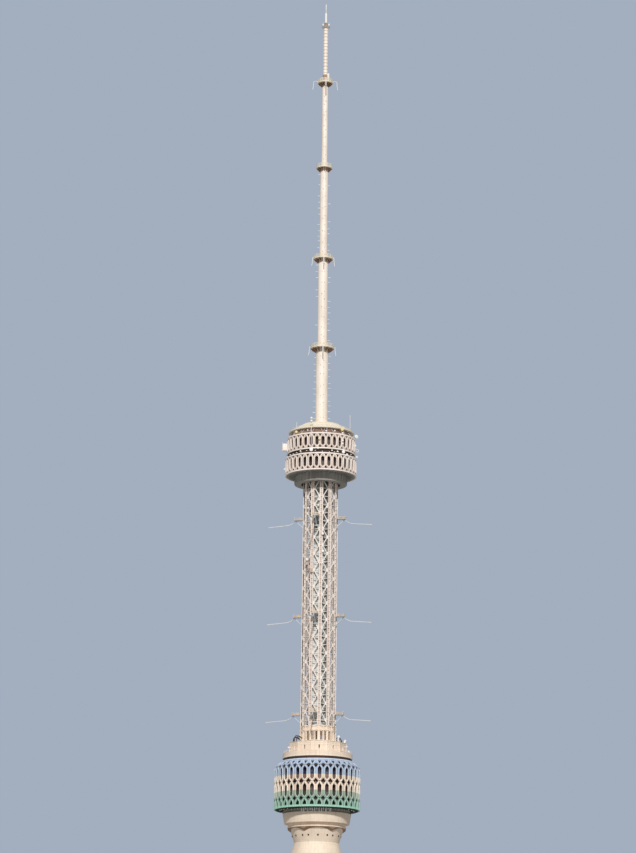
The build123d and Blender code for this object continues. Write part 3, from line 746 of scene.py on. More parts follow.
lamp_ring, lamp_radius, lamp_drop = 1200 * mm, 24 * mm, 34 * mm
lamps = []
for degrees in (55, 65, 75, 85, 115, 135, 155, 180):
    for side in (-1, 1) if degrees < 180 else (1,):
        x, y = lamp_ring * sin(side * radians(degrees)), -lamp_ring * cos(radians(degrees))
        lamps.append(prisms("lamp", (circle(x, y, lamp_radius, 16), lower_deck - lamp_drop, lower_deck)))
hand_over(joined("deck_lamps", lamps, gelcoat), "dark_soffit")

# %% [markdown]
# ## Pierced screens
# Each round building stands behind a screen of thirty-six flat bays. A bay is drawn flat, as an outline
# with holes, on a 2D curve that Blender fills. It is then bent into place: across stays across, up
# follows the wall, and the thickness goes inwards. The tree sets it round and welds bay to bay, so the
# faces between two bays are taken out first. Holes cut by booleans would leave slivers in so thin a wall.

# %% Flat bays
bays = 36


def bay_half(radius):
    """Half the width of a bay at its face."""
    return radius * tan(pi / bays)


def bend(work, wall):
    """Moves flat points (across, up the wall, outwards) to a wall of foot and head radius and level."""
    foot_radius, head_radius, low, high = wall
    slope = hypot(foot_radius - head_radius, high - low)
    lean_in, lean_up = (foot_radius - head_radius) / slope, (high - low) / slope
    for v in work.verts:
        x, s, out = v.co
        face = foot_radius - s * lean_in
        radius = face + out * lean_up
        v.co = (x * radius / face, -radius, low + s * lean_up + out * lean_in)


def bay_mesh(name, outline, holes, thick, wall):
    """One bay with holes; points are (across, distance up the wall) with the foot of the wall at 0."""
    curve = bpy.data.curves.new(name, "CURVE")
    curve.dimensions, curve.fill_mode, curve.extrude = "2D", "BOTH", thick / 2
    for loop in (outline, *holes):
        spline = curve.splines.new("POLY")
        spline.points.add(len(loop) - 1)
        for point, (x, s) in zip(spline.points, loop):
            point.co = (x, s, 0, 1)
        spline.use_cyclic_u = True
    drawn = placed(name + "_drawing", curve)
    flat = bpy.data.meshes.new_from_object(drawn)
    bpy.data.objects.remove(drawn)
    foot_radius, head_radius, low, high = wall
    lean_in = (foot_radius - head_radius) / hypot(foot_radius - head_radius, high - low)
    work = bmesh.new()
    work.from_mesh(flat)
    bmesh.ops.remove_doubles(work, verts=work.verts, dist=0.05 * mm)
    edge_faces = [f for f in work.faces if abs(f.normal.z) < 0.5 and all(
        abs(abs(v.co.x) - bay_half(foot_radius - v.co.y * lean_in)) < 0.2 * mm for v in f.verts)]
    bmesh.ops.delete(work, geom=edge_faces, context="FACES_ONLY")
    for v in work.verts:
        v.co.z -= thick / 2
    bend(work, wall)
    return placed(name, mesh_from(name, work))


print("a bay is", round(2 * bay_half(reach("lower_screen_front")) / mm), "mm wide")

# %% [markdown]
# The raised ribbons on the screen's face are bars along a line. A second tree grows them: it turns the
# edges of a line drawing into square or round bars. They are grown while flat, so that their faces stay
# flat on the wall, and are then bent as the bays are.

# %% Ribbons
def bar_tree():
    """Bars along the edges of a line drawing: square ones of a width and depth, or round ones."""
    tree = bpy.data.node_groups.new("bars_on_lines", "GeometryNodeTree")
    given = inputs_of(tree, (("Width", "Float"), ("Depth", "Float"), ("Sides", "Int")))
    lines = add(tree, "GeometryNodeMeshToCurve", {0: given["Geometry"]})
    half_turn = add(tree, "ShaderNodeMath", {0: pi, 1: given["Sides"]}, operation="DIVIDE").outputs[0]
    flat = add(tree, "ShaderNodeMath", {0: half_turn}, operation="COSINE")
    radius = add(tree, "ShaderNodeMath", {0: 0.5, 1: flat.outputs[0]}, operation="DIVIDE")
    ring = add(tree, "GeometryNodeCurvePrimitiveCircle",
               {"Resolution": given["Sides"], 4: radius.outputs[0]})
    angles = add(tree, "ShaderNodeCombineXYZ", {"Z": half_turn})
    square = add(tree, "FunctionNodeEulerToRotation", {0: angles.outputs[0]})
    level = add(tree, "GeometryNodeTransform", {0: ring.outputs[0], "Rotation": square.outputs[0]})
    size = add(tree, "ShaderNodeCombineXYZ", {"X": given["Width"], "Y": given["Depth"], "Z": 1.0})
    profile = add(tree, "GeometryNodeTransform", {0: level.outputs[0], "Scale": size.outputs[0]})
    bars = add(tree, "GeometryNodeCurveToMesh", {0: lines.outputs[0], "Profile Curve": profile.outputs[0],
                                                 "Fill Caps": True})
    real = add(tree, "GeometryNodeRealizeInstances", {0: bars.outputs[0]})
    coated = add(tree, "GeometryNodeSetMaterial", {0: real.outputs[0], "Material": given["Material"]})
    add(tree, "NodeGroupOutput", {0: coated.outputs[0]})
    return tree


bars_on_lines = bar_tree()


def ribbons(name, paths, width, depth, wall, material):
    """Raised bars on the face of a wall along paths of (across, up), mirrored and set round."""
    points, edges = [], []
    for side in (-1, 1):
        for route in paths:
            n = len(points)
            points += [(side * x, s, depth / 2 - 1 * mm) for x, s in route]
            edges += [(n + k, n + k + 1) for k in range(len(route) - 1)]
    drawn = mesh_of(name, points, edges=edges)
    grow(drawn, bars_on_lines, material, Width=width, Depth=depth, Sides=4)
    work = bmesh.new()
    work.from_mesh(drawn.data)
    bend(work, wall)
    work.to_mesh(drawn.data)
    work.free()
    return repeated(drawn, material, around=bays)


print(bars_on_lines.name, len(bars_on_lines.nodes), "nodes")

# %% [markdown]
# What is cut from a bay is always upright, with a point or a flat at each end, and where the ribbons leave
# the edge between two bays the panel has a notch. Both are written as a few levels and a width.

# %% Openings and notches
def scaled(points):
    """Points written in millimetres, in metres."""
    return [(x * mm, s * mm) for x, s in points]


def pointed_opening(half, *levels):
    """Opening with a flat sill (sill, springing, crown) or a point at both ends, in millimetres."""
    if len(levels) == 3:
        sill, spring, crown = levels
        return scaled([(-half, sill), (half, sill), (half, spring), (0, crown), (-half, spring)])
    sill, spring, high_spring, crown = levels
    return scaled([(0, sill), (half, spring), (half, high_spring), (0, crown), (-half, high_spring),
                   (-half, spring)])


def notched(half_low, half_high, rise, notches):
    """Outline of a bay whose upright edges carry notches: foot, point and head level, and depth."""
    def edge(level):
        return half_low + (half_high - half_low) * level / rise
    right = [(edge(0), 0)]
    for low, point, high, depth in notches:
        if point <= 0:
            right = [(edge(0) - depth, 0), (edge(high), high)]
        elif point >= rise:
            right += [(edge(low), low), (edge(rise) - depth, rise)]
        elif low == point:
            right += [(edge(low), low), (edge(low) - depth, low), (edge(high), high)]
        elif high == point:
            right += [(edge(low), low), (edge(high) - depth, high), (edge(high), high)]
        else:
            right += [(edge(low), low), (edge(point) - depth, point), (edge(high), high)]
    if right[-1][1] < rise:
        right.append((edge(rise), rise))
    return right + [(-x, level) for x, level in reversed(right)]


print("an opening has", len(pointed_opening(60, 0, 50, 300, 350)), "corners")

# %% [markdown]
# ## Lower screen
# Two ribbons run up each bay. They stand beside the windows and cross between them, so that the pierced
# panels look woven. Where the ribbons leave the edge between two bays, the panel is cut to a dark diamond.

# %% Panels of the lower screen
lower_radius, screen_wall, recess = reach("lower_screen_front"), 35 * mm, 8 * mm
screen_low, screen_high = foot("lower_screen_front"), head("lower_screen_front")
screen_rise = screen_high - screen_low
lower_rows = [pointed_opening(61, 65, 120, 215), pointed_opening(60, 325, 380, 670, 745),
              pointed_opening(60, 865, 920, 1230, 1285)]
lower_notches = [(180 * mm, 265 * mm, 350 * mm, 74 * mm), (700 * mm, 805 * mm, 910 * mm, 82 * mm),
                 (screen_rise - 110 * mm, screen_rise, screen_rise, 78 * mm)]
face_half = bay_half(lower_radius - recess)
lower_wall = (lower_radius - recess, lower_radius - recess, screen_low, screen_high)
lower_screen = bay_mesh("lower_screen_panels", notched(face_half, face_half, screen_rise, lower_notches),
                        lower_rows, screen_wall - recess, lower_wall)
# the panels take the darker recess colours, as painted shade
hand_over(repeated(lower_screen, screen_recess_shade, around=bays, weld=0.4 * mm), "screen_paint",
          "lower_screen_front", "lower_screen_back")

# %% [markdown]
# One path holds a ribbon's whole way up a bay, and its mirror image makes the crossings. The rim hides the
# ribbons' cut ends at the foot of the screen, as the real one does.

# %% Ribbons and rim of the lower screen
lower_paths = [scaled([(-76, 0), (-76, 150), (0, 270), (76, 390), (76, 665), (0, 805), (-76, 925),
                       (-76, 1215), (0, 1320), (14, 1340)])]
hand_over(ribbons("lower_screen_ribbons", lower_paths, 28 * mm, 26 * mm, lower_wall, screen_enamel),
          "screen_paint")

rim_radius, rim_rise = lower_radius + 9 * mm, 52 * mm
rim = turned_piece("lower_screen_rim", [
    (rim_radius - 30 * mm, screen_low - 2 * mm), (rim_radius, screen_low - 2 * mm),
    (rim_radius, screen_low + rim_rise), (rim_radius - 14 * mm, screen_low + rim_rise),
    (rim_radius - 30 * mm, screen_low + 20 * mm)], screen_enamel, sides=108)
hand_over(rim, "screen_paint")

# %% [markdown]
# ## Shoulder
# The sloping shoulder carries the lattice on, with ribbons that meet under a solid rim. The panel is cut
# away to dark triangles, and a liner behind them, in painted shade, keeps the sky from showing through.

# %% Panels of the shoulder
shoulder_high, shoulder_setback = head("lower_shoulder"), 225 * mm
shoulder_head = lower_radius - shoulder_setback
slope = hypot(shoulder_setback, shoulder_high - screen_high)
shoulder_wall = (lower_radius, shoulder_head, screen_high, shoulder_high)
shoulder_outline = notched(bay_half(lower_radius), bay_half(shoulder_head), slope,
                           [(0, 0, 76 * mm, 84 * mm)])
shoulder_holes = [scaled([(-58, 192), (0, 30), (58, 192)])]
shoulder = bay_mesh("shoulder_panels", shoulder_outline, shoulder_holes, 20 * mm, shoulder_wall)
# the shoulder's panels take the darker recess colours too, as painted shade
hand_over(repeated(shoulder, screen_recess_shade, around=bays, weld=0.4 * mm), "blue_cladding", "lower_shoulder")

# %% [markdown]
# The shoulder's ribbons are flatter than the screen's, because they end under the rim at its head. Rim and
# liner follow the slope from ring to ring, so both are turned from a slanting section.

# %% Ribbons, rim and liner of the shoulder
shoulder_paths = [[(0, 0), (bay_half(lower_radius) - 40 * mm, 130 * mm), (70 * mm, 225 * mm)]]
hand_over(ribbons("shoulder_ribbons", shoulder_paths, 24 * mm, 12 * mm, shoulder_wall, screen_enamel),
          "blue_cladding")
shoulder_rim = turned_piece("shoulder_rim", [
    (shoulder_head + 44 * mm, shoulder_high - 40 * mm), (shoulder_head + 50 * mm, shoulder_high - 40 * mm),
    (shoulder_head + 12 * mm, shoulder_high), (shoulder_head - 20 * mm, shoulder_high),
    (shoulder_head + 8 * mm, shoulder_high - 20 * mm)], screen_enamel, sides=108)
hand_over(shoulder_rim, "blue_cladding")
liner = turned_piece("shoulder_liner", [
    (lower_radius - 60 * mm, screen_high), (lower_radius - 35 * mm, screen_high),
    (shoulder_head - 25 * mm, shoulder_high - 4 * mm), (shoulder_head - 70 * mm, shoulder_high - 4 * mm)],
    gap_painted_shade)
hand_over(liner, "dark_soffit")

# %% [markdown]
# ## Window bars
# Behind the screen the glass has thin brown bars: uprights each twelfth of a flat, and level bars at the
# sills, heads and transoms of the three storeys. They are one piece for a flat of the wall, set round.

# %% Window bars of the lower building
glass_sides, bars_per_flat, bar_half = 12, 12, 5 * mm
# levels of the level bars above the screen's foot, in millimetres
transoms = (95, 165, 310, 500, 700, 850, 1050, 1230)
glass_face = reach("lower_glass")
flat_half = glass_face * tan(pi / glass_sides)
window_ranges = []
for k in range(bars_per_flat):
    x = flat_half * (2 * (k + 0.5) / bars_per_flat - 1)
    window_ranges.append(((x - bar_half, x + bar_half), (-glass_face - 8 * mm, -glass_face + 2 * mm),
                          (screen_low + 40 * mm, screen_high - 30 * mm)))
for z in transoms:
    window_ranges.append(((-flat_half, flat_half), (-glass_face - 7 * mm, -glass_face + 2 * mm),
                          (screen_low + z * mm - bar_half, screen_low + z * mm + bar_half)))
hand_over(repeated(blocks("lower_window_bars", *window_ranges), brown_paint, around=glass_sides),
          "window_glass")

# %% [markdown]
# ## Terrace
# Above the dark gap over the shoulder a bright ring carries a walkway with a rail. A rail is thin posts
# set round and hoops turned round, and the roof and the platforms need the same, so it is a function.

# %% Terrace ring and rail
def railing(name, radius, level, height, posts, material, thick=8 * mm, rings=2):
    """Posts and round rails on a level ring."""
    near, far = radius - thick / 2, radius + thick / 2
    post = blocks(name + "_posts",
                  ((-thick / 2, thick / 2), (-far, -near), (level - 2 * mm, level + height)))
    pieces = [repeated(post, material, around=posts)]
    for k in range(rings):
        z = level + height * (k + 1) / rings
        pieces.append(turned_piece("hoop", [(near, z - thick), (far, z - thick), (far, z), (near, z)],
                                   material, 72))
    return joined(name, pieces, material)


terrace_radius, terrace_shell, bead, bead_rise = reach("terrace_ring"), 40 * mm, 8 * mm, 38 * mm
terrace_low, terrace_high = foot("terrace_ring"), head("terrace_ring")
bead_edge, terrace_inner = terrace_radius + bead, terrace_radius - terrace_shell
terrace = turned_piece("terrace_cladding", [
    (terrace_inner, terrace_low), (terrace_radius, terrace_low), (bead_edge, terrace_low + bead),
    (bead_edge, terrace_low + bead_rise - bead), (terrace_radius, terrace_low + bead_rise),
    (terrace_radius, terrace_high), (0, terrace_high), (0, terrace_high - terrace_shell),
    (terrace_inner, terrace_high - terrace_shell)], cream_sheet)
hand_over(terrace, "cream_cladding", "terrace_ring")
hand_over(railing("terrace_rail", terrace_radius - 30 * mm, terrace_high, 95 * mm, 48, cream_enamel),
          "cream_cladding")

# %% [markdown]
# ## Drums above the terrace
# The two drums behind the walkway keep their solids. Their slots get frames that stand out a little, and
# the joints of their boards are covered by thin battens, which are what shows of them from far off.

# %% Frames of the slots
drum_sides, frame_width = 12, 9 * mm


def slot_frames(name, face, openings, material):
    """Four bars round each opening (left, right, low, high) of a flat face."""
    depth = (-face - 7 * mm, -face + 3 * mm)
    ranges = []
    for left, right, low, high in openings:
        ranges += [((left - frame_width, left), depth, (low - frame_width, high + frame_width)),
                   ((right, right + frame_width), depth, (low - frame_width, high + frame_width)),
                   ((left, right), depth, (low - frame_width, low)),
                   ((left, right), depth, (high, high + frame_width))]
    return repeated(blocks(name, *ranges), material, around=drum_sides)


terrace_face, lantern_face = reach("terrace_drum"), reach("lantern")
lantern_low, lantern_high = foot("lantern"), head("lantern")
slot_half, slot_low, slot_rise = 20 * mm, terrace_high + 90 * mm, 130 * mm
hand_over(slot_frames("terrace_slot_frames", terrace_face, [
    (-slot_half, slot_half, slot_low, slot_low + slot_rise)], cream_enamel), "cream_cladding")
mullion_half, pane, sill, pane_rise = 14 * mm, 88 * mm, lantern_low + 70 * mm, 290 * mm
hand_over(slot_frames("lantern_frames", lantern_face, [
    (side, side + pane, sill, sill + pane_rise) for side in (mullion_half, -mullion_half - pane)],
    cream_enamel), "cream_cladding")

# %% [markdown]
# Battens and ledges are plain bars on one flat of the wall, set round by the tree. The gutter at the foot
# of the drum has gone brown, and stands out from the wall as a turned ring.

# %% Battens of the terrace drum
terrace_half = terrace_face * tan(pi / drum_sides)
boards = [((-terrace_half, terrace_half), (-terrace_face - out, -terrace_face + 3 * mm), (z, z + 7 * mm))
          for z, out in ((terrace_high + 62 * mm, 5 * mm), (terrace_high + 232 * mm, 5 * mm),
                         (terrace_high + 290 * mm, 5 * mm), (lantern_low - 8 * mm, 14 * mm))]
boards += [((x - 6 * mm, x + 6 * mm), (-terrace_face - 6 * mm, -terrace_face + 3 * mm),
            (terrace_high, lantern_low)) for x in (-terrace_half, terrace_half)]
hand_over(repeated(blocks("terrace_boards", *boards), cream_enamel, around=drum_sides), "cream_cladding")
gutter_inner, gutter_edge = terrace_face - 5 * mm, terrace_face + 50 * mm
gutter_low, gutter_high = terrace_high - 2 * mm, terrace_high + 26 * mm
gutter = turned_piece("terrace_gutter", [
    (gutter_inner, gutter_low), (gutter_edge, gutter_low), (gutter_edge, gutter_high),
    (gutter_inner, gutter_high)], stained_primer, sides=72)
hand_over(gutter, "cream_cladding")

# %% Ledges of the lantern
lantern_half = lantern_face * tan(pi / drum_sides)
ledges = [((-lantern_half, lantern_half), (-lantern_face - 10 * mm, -lantern_face + 3 * mm),
           (z, z + 12 * mm))
          for z in (lantern_low + 30 * mm, lantern_low + 390 * mm, lantern_high - 24 * mm)]
ledges += [((x - 9 * mm, x + 9 * mm), (-lantern_face - 6 * mm, -lantern_face + 3 * mm),
            (lantern_low, lantern_high)) for x in (-lantern_half, lantern_half)]
hand_over(repeated(blocks("lantern_ledges", *ledges), cream_enamel, around=drum_sides), "cream_cladding")

# %% [markdown]
# Bent brown pipes stand round the lantern's foot on the left and the right. A pipe is a line of five
# points, and the tree of bars makes it round.

# %% Pipes at the lantern
def lines_of(name, routes, material, width, depth, sides):
    """Bars along routes, each a list of points, as one piece."""
    points, edges = [], []
    for route in routes:
        n = len(points)
        points += route
        edges += [(n + k, n + k + 1) for k in range(len(route) - 1)]
    return grow(mesh_of(name, points, edges=edges), bars_on_lines, material, Width=width, Depth=depth,
                Sides=sides)


def upright_route(degrees, section):
    """Points of a section of (radius, level) at one azimuth."""
    a = radians(degrees)
    return [(r * sin(a), -r * cos(a), z) for r, z in section]


pipe_width = 26 * mm
pipe_routes = []
for k, degrees in enumerate((-101, -92, -83, -74, -62, 96, 104, 168)):
    top = lantern_low + (0.24 - 0.03 * (k % 3))
    pipe_routes.append(upright_route(degrees, (
        (0.80, lantern_low - 4 * mm), (0.79, top - 60 * mm), (0.74, top), (0.66, top - 20 * mm),
        (0.54, top - 90 * mm))))
hand_over(lines_of("lantern_pipes", pipe_routes, brown_paint, pipe_width, pipe_width, 8), "cream_cladding")

# %% [markdown]
# ## Dishes
# Small drum-shaped dish antennas are fixed all over the mast. Each is a section turned about the line that
# it looks along, with an arm that reaches back to the wall, or a post that stands on a ledge. Most of them
# look to the front, so a dish turns by only a share of its place round the mast.

# %% Dishes of the lantern and the terrace
facing_share = 0.3


def dish(azimuth, radius, level, size, back, material, seat=None):
    """A drum dish on an arm from a wall at the radius back, or on a post that stands on a seat."""
    section = [(0, size * 0.12), (size * 0.6, size * 0.08), (size - 3 * mm, 0), (size, -4 * mm),
               (size, -size * 0.5), (size * 0.45, -size * 0.8), (0, -size * 0.8)]
    bowl = facing_out(section, 0, level, azimuth=azimuth * facing_share, sides=20, name="bowl", smooth=35)
    a = radians(azimuth)
    bowl.data.transform(Matrix.Translation((radius * sin(a), -radius * cos(a), 0)))
    low = level - 7 * mm if seat is None else seat
    arm = blocks("arm", ((-7 * mm, 7 * mm), (-radius, -back), (low, level + 7 * mm)), azimuth=azimuth)
    return joined("dish", [bowl, arm], material)


def dishes(name, rows, back, material, slot, seat=None):
    """Dishes from rows of (azimuth in degrees, distance from the axis, level, size in mm)."""
    bowls = [dish(a, r, z, size * mm, back, material, seat) for a, r, z, size in rows]
    hand_over(joined(name, bowls, material), slot)


# azimuth in degrees, distance from the axis and level in metres, size in millimetres
dishes("lantern_dishes", [(46, 0.90, 11.997, 42), (83, 0.90, 11.936, 36), (-118, 0.86, 12.02, 40)], 0.85,
       gelcoat, "cream_cladding", seat=lantern_low - 4 * mm)
dishes("terrace_dishes", [(90, 1.016, 11.60, 40), (64, 1.03, 11.70, 24), (-71, 1.02, 11.66, 26)], 0.88,
       gelcoat, "cream_cladding")

# %% [markdown]
# ## Braced shaft
# In the photograph each chord is a group of four slim bars round a rust-stained core, tied by battens at
# each bracing level. The bars run the whole height, so they are drawn once in plan.

# %% Chords
chords, shaft_radius, chord_depth, chord_width = 12, 536 * mm, 80 * mm, 90 * mm
bar_width, bar_depth = 27 * mm, 25 * mm
shaft_low, shaft_high = foot("shaft_chords"), head("shaft_chords")
outer, inner = shaft_radius + chord_depth / 2, shaft_radius - chord_depth / 2


def chord_edge(y):
    """Half the chord's width at a distance from the axis."""
    return chord_width / 2 + (y - shaft_radius) * tan(pi / chords)


bars = []
for side in (-1, 1):
    for far, near in ((outer, outer - bar_depth), (inner + bar_depth, inner)):
        plan = [(side * chord_edge(far), -far), (side * (chord_edge(far) - bar_width), -far),
                (side * (chord_edge(near) - bar_width), -near), (side * chord_edge(near), -near)]
        bars.append((plan, shaft_low, shaft_high))
hand_over(repeated(prisms("chord_bars", *bars), shaft_enamel, around=chords), "cream_steel", "shaft_chords")

# %% [markdown]
# The core between the bars sits a little behind them, so that it stays in their shade. Dark plates on both
# sides close the gaps between front and back bars. A batten and the smaller tie half way above it are
# drawn once for one bracing level, and the tree stacks them.

# %% Cores and side plates of the chords
core_far, core_near, core_inset = outer - 18 * mm, inner + 8 * mm, 8 * mm
far_half, near_half = chord_edge(core_far) - core_inset, chord_edge(core_near) - core_inset
core_plan = [(-far_half, -core_far), (far_half, -core_far),
             (near_half, -core_near), (-near_half, -core_near)]
chord_cores = prisms("chord_cores", (core_plan, shaft_low, shaft_high))
hand_over(repeated(chord_cores, stained_primer, around=chords), "cream_steel")

gap_far, gap_near = outer - bar_depth, inner + bar_depth
side_plates = []
for side in (-1, 1):
    plan = [(side * (chord_edge(y) - x), -y) for y, x in
            ((gap_far, 5 * mm), (gap_far, 11 * mm), (gap_near, 11 * mm), (gap_near, 5 * mm))]
    side_plates.append((plan, shaft_low + 2 * mm, shaft_high - 2 * mm))
hand_over(repeated(prisms("chord_side_plates", *side_plates), brown_paint, around=chords), "cream_steel")

# %% Battens of the chords
brace_low, brace_high, brace_modules = foot("bracing_front"), head("bracing_front"), 29
module = (brace_high - brace_low) / brace_modules
batten_half, mid_level = chord_edge(outer), brace_low + module / 2
batten = blocks("chord_battens",
                ((-batten_half, batten_half), (-outer - 5 * mm, -outer + 4 * mm),
                 (brace_low - 9 * mm, brace_low + 9 * mm)),
                ((-batten_half + 20 * mm, batten_half - 20 * mm), (-outer - 2 * mm, -outer + 20 * mm),
                 (mid_level - 6 * mm, mid_level + 6 * mm)))
hand_over(repeated(batten, shaft_enamel, around=chords, rows=brace_modules, rise=module), "cream_steel")

# %% [markdown]
# ## Rails and gussets
# Level rails close each bracing triangle, and where two diagonals meet a chord a plate shaped like half a
# star joins them. The meeting places step round by one chord from level to level, so the tree turns each
# row by a twelfth of a turn.

# %% Rails
side_face = shaft_radius * cos(pi / chords)
clear = shaft_radius * sin(pi / chords) - chord_width / 2 * cos(pi / chords)
levels, rail_half = brace_modules + 1, 8 * mm
rail = blocks("shaft_rails", ((-clear, clear), (-side_face - rail_half, -side_face + rail_half),
                              (brace_low - rail_half, brace_low + rail_half)))
hand_over(repeated(rail, shaft_enamel, around=chords, rows=levels, first=180 / chords, rise=module),
          "cream_steel")

# %% [markdown]
# A gusset's outline is written for one side of a chord, as distances out from the chord and up from the
# level. Its two sides make one small piece, which the tree sets on every second chord.

# %% Gussets
plate_outline = scaled([(-3, -70), (32, -46), (50, -12), (50, 12), (32, 46), (-3, 70)])
plates = []
for side in (-1, 1):
    turn = Matrix.Rotation(side * pi / chords, 3, "Z")
    points = [turn @ Vector((-side * (clear - out), y, brace_low + z))
              for y in (-side_face - 21 * mm, -side_face - 13 * mm) for out, z in plate_outline]
    plates.append(mesh_of("plate", points, prism_faces(len(plate_outline))))
gussets = joined("chord_gussets", plates, shaft_enamel)
hand_over(repeated(gussets, shaft_enamel, around=chords // 2, rows=levels, first=-360 / chords, rise=module,
                   row_turn=360 / chords), "cream_steel")

# %% [markdown]
# ## Core inside the shaft
# Inside the bracing a core holds the lift and the stairs: sheets with two corner posts at the front, and a
# landing at each bracing level. It is thin enough to stay clear of the riser beside it. From the ground
# only patches of it show between the bars, so it has no more detail than that.

# %% Core, landings and riser joints
well_half, well_depth, landing_reach = 200 * mm, 215 * mm, 36 * mm
post_width, post_proud = 22 * mm, 8 * mm
well_levels, post_front = (shaft_low + 2 * mm, shaft_high), -well_depth - post_proud
well = blocks("well_sheets", ((-well_half, well_half), (-well_depth, well_depth), well_levels),
              *[((left, left + post_width), (post_front, post_front + post_width), well_levels)
                for left in (-well_half - post_proud, well_half + post_proud - post_width)])
hand_over(repeated(well, core_sheet), "riser_metal")
landing = blocks("well_landings", ((-well_half - landing_reach, well_half + landing_reach),
                                   (-well_depth - landing_reach, well_depth + landing_reach),
                                   (brace_low - 6 * mm, brace_low + 6 * mm)))
hand_over(repeated(landing, brown_paint, rows=levels, rise=module), "riser_metal")
riser_bands = blocks("riser_joints", ((-231 * mm, -19 * mm), (-396 * mm, -264 * mm),
                                      (brace_low - 8 * mm, brace_low + 8 * mm)))
hand_over(repeated(riser_bands, galvanised, rows=levels, rise=module), "riser_metal")

# %% [markdown]
# ## Fittings on the shaft
# A few dishes hang on the chords, and on the left a group of small stained cases, each on a shelf with two
# stanchions. They stand where the photograph shows pale and brown spots, and a case and two dishes at the
# back are made up in the same way.

# %% Dishes and cases of the shaft
dishes("shaft_dishes", [(-7, 0.63, 19.813, 36), (17, 0.63, 19.569, 34), (-44, 0.62, 19.563, 32),
                        (5, 0.64, 18.671, 42), (6, 0.64, 18.089, 42), (-9, 0.63, 19.62, 26),
                        (0, 0.63, 17.70, 24), (152, 0.63, 17.3, 36), (-133, 0.63, 18.4, 34),
                        (-46, 0.63, 17.84, 44)], 0.54, gelcoat, "cream_steel")
case_half, shelf_half, case_back, case_front, shelf_front = 34 * mm, 55 * mm, 560 * mm, 630 * mm, 645 * mm
stanchion, stanchion_rise = 8 * mm, 90 * mm
cases = []
for degrees, z, rise in ((-47, 17.66, 90 * mm), (-38, 17.52, 110 * mm), (-30, 17.40, 120 * mm),
                         (150, 16.9, 160 * mm)):
    shelf = z - 8 * mm
    stanchions = [((left, left + stanchion), (-shelf_front, -shelf_front + stanchion),
                   (shelf, z + stanchion_rise)) for left in (-shelf_half, shelf_half - stanchion)]
    cases.append(blocks("case", ((-case_half, case_half), (-case_front, -case_back), (z, z + rise)),
                        ((-shelf_half, shelf_half), (-shelf_front, -case_back), (shelf, z)),
                        *stanchions, azimuth=degrees))
hand_over(joined("shaft_cases", cases, stained_primer), "cream_steel")

# %% [markdown]
# ## Brackets of the booms
# Each bracket is a small deck of its own. On the real mast it holds a rail, posts and a cabinet, painted
# ochre and rusting. No two are quite alike, so the posts' heights are drawn at random from a fixed seed.

# %% Decks on the brackets
boom_azimuths, boom_levels = (-15, 75, 165, 255), (400 * mm, 3630 * mm, 6890 * mm)
panel_azimuths = (-15, 165)
bracket_half, bracket_near, bracket_far = 95 * mm, 590 * mm, 850 * mm
post, rail_low, rail_high = 5 * mm, 52 * mm, 60 * mm
chance = Random(11)
deck_blocks, panel_blocks = [], []
for degrees in boom_azimuths:
    for rise in boom_levels:
        seat = shaft_low + rise
        rail_levels = (seat + rail_low, seat + rail_high)
        ranges = [((-bracket_half - 8 * mm, bracket_half + 8 * mm), (-bracket_far, -bracket_near),
                   (seat - 2 * mm, seat + 8 * mm))]
        for x in (-bracket_half, -32 * mm, 32 * mm, bracket_half):
            height = chance.uniform(60, 105) * mm
            ranges.append(((x - post, x + post), (-bracket_far, -bracket_far + 2 * post),
                           (seat, seat + height)))
        for x in (-bracket_half, bracket_half):
            height = chance.uniform(70, 110) * mm
            ranges.append(((x - post, x + post), (-bracket_near - 90 * mm, -bracket_near - 80 * mm),
                           (seat, seat + height)))
            ranges.append(((x - 4 * mm, x + 4 * mm), (-bracket_far, -bracket_near), rail_levels))
        ranges.append(((-bracket_half, bracket_half), (-bracket_far, -bracket_far + 8 * mm), rail_levels))
        ranges.append(((-60 * mm, 10 * mm), (-bracket_near - 130 * mm, -bracket_near - 40 * mm),
                       (seat, seat + 48 * mm)))
        deck_blocks.append(blocks("deck", *ranges, azimuth=degrees))
        if degrees in panel_azimuths:
            panel_blocks.append(blocks("panel", (
                (-70 * mm, 70 * mm), (-bracket_near - 40 * mm, -bracket_near + 6 * mm),
                (seat - 150 * mm, seat - 16 * mm)), azimuth=degrees))
hand_over(joined("bracket_decks", deck_blocks, ochre_paint), "boom_steel")
hand_over(joined("bracket_panels", panel_blocks, core_sheet), "boom_steel")

# %% [markdown]
# ## Upper building
# A shallow soffit carries two rings of screens with a dark gap between them, and a roof of pale sheet. The
# soffit is turned, with ribs under it that show as thin dark and pale lines in its shade.

# %% Upper soffit
soffit_radius, soffit_hole, soffit_shell = reach("upper_soffit"), 650 * mm, 30 * mm
soffit_low, upper_deck = foot("upper_soffit"), foot("upper_deck")
soffit_inner, soffit_floor = soffit_radius - soffit_shell, soffit_low + soffit_shell
soffit = turned_piece("soffit_drum", [
    (soffit_hole, soffit_low), (soffit_radius, soffit_low), (soffit_radius, upper_deck),
    (soffit_inner, upper_deck), (soffit_inner, soffit_floor), (soffit_hole, soffit_floor)], soffit_paint_and_shade)
hand_over(soffit, "dark_soffit", "upper_soffit")
soffit_rib = (-7 * mm, 7 * mm)
soffit_ribs = blocks("soffit_ribs",
                     (soffit_rib, (-soffit_radius - 200 * mm, -soffit_radius + 4 * mm),
                      (upper_deck - 30 * mm, upper_deck + 2 * mm)),
                     (soffit_rib, (-soffit_radius - 14 * mm, -soffit_radius + 4 * mm),
                      (soffit_low + 8 * mm, upper_deck)))
hand_over(repeated(soffit_ribs, soffit_paint_and_shade, around=bays), "dark_soffit")

# %% [markdown]
# The two rings of the upper screens differ only in radius and rise, so one loop makes both: the panels, the
# ribbons, which make a row of Y shapes above and below the windows, and a rim at the foot and the head.

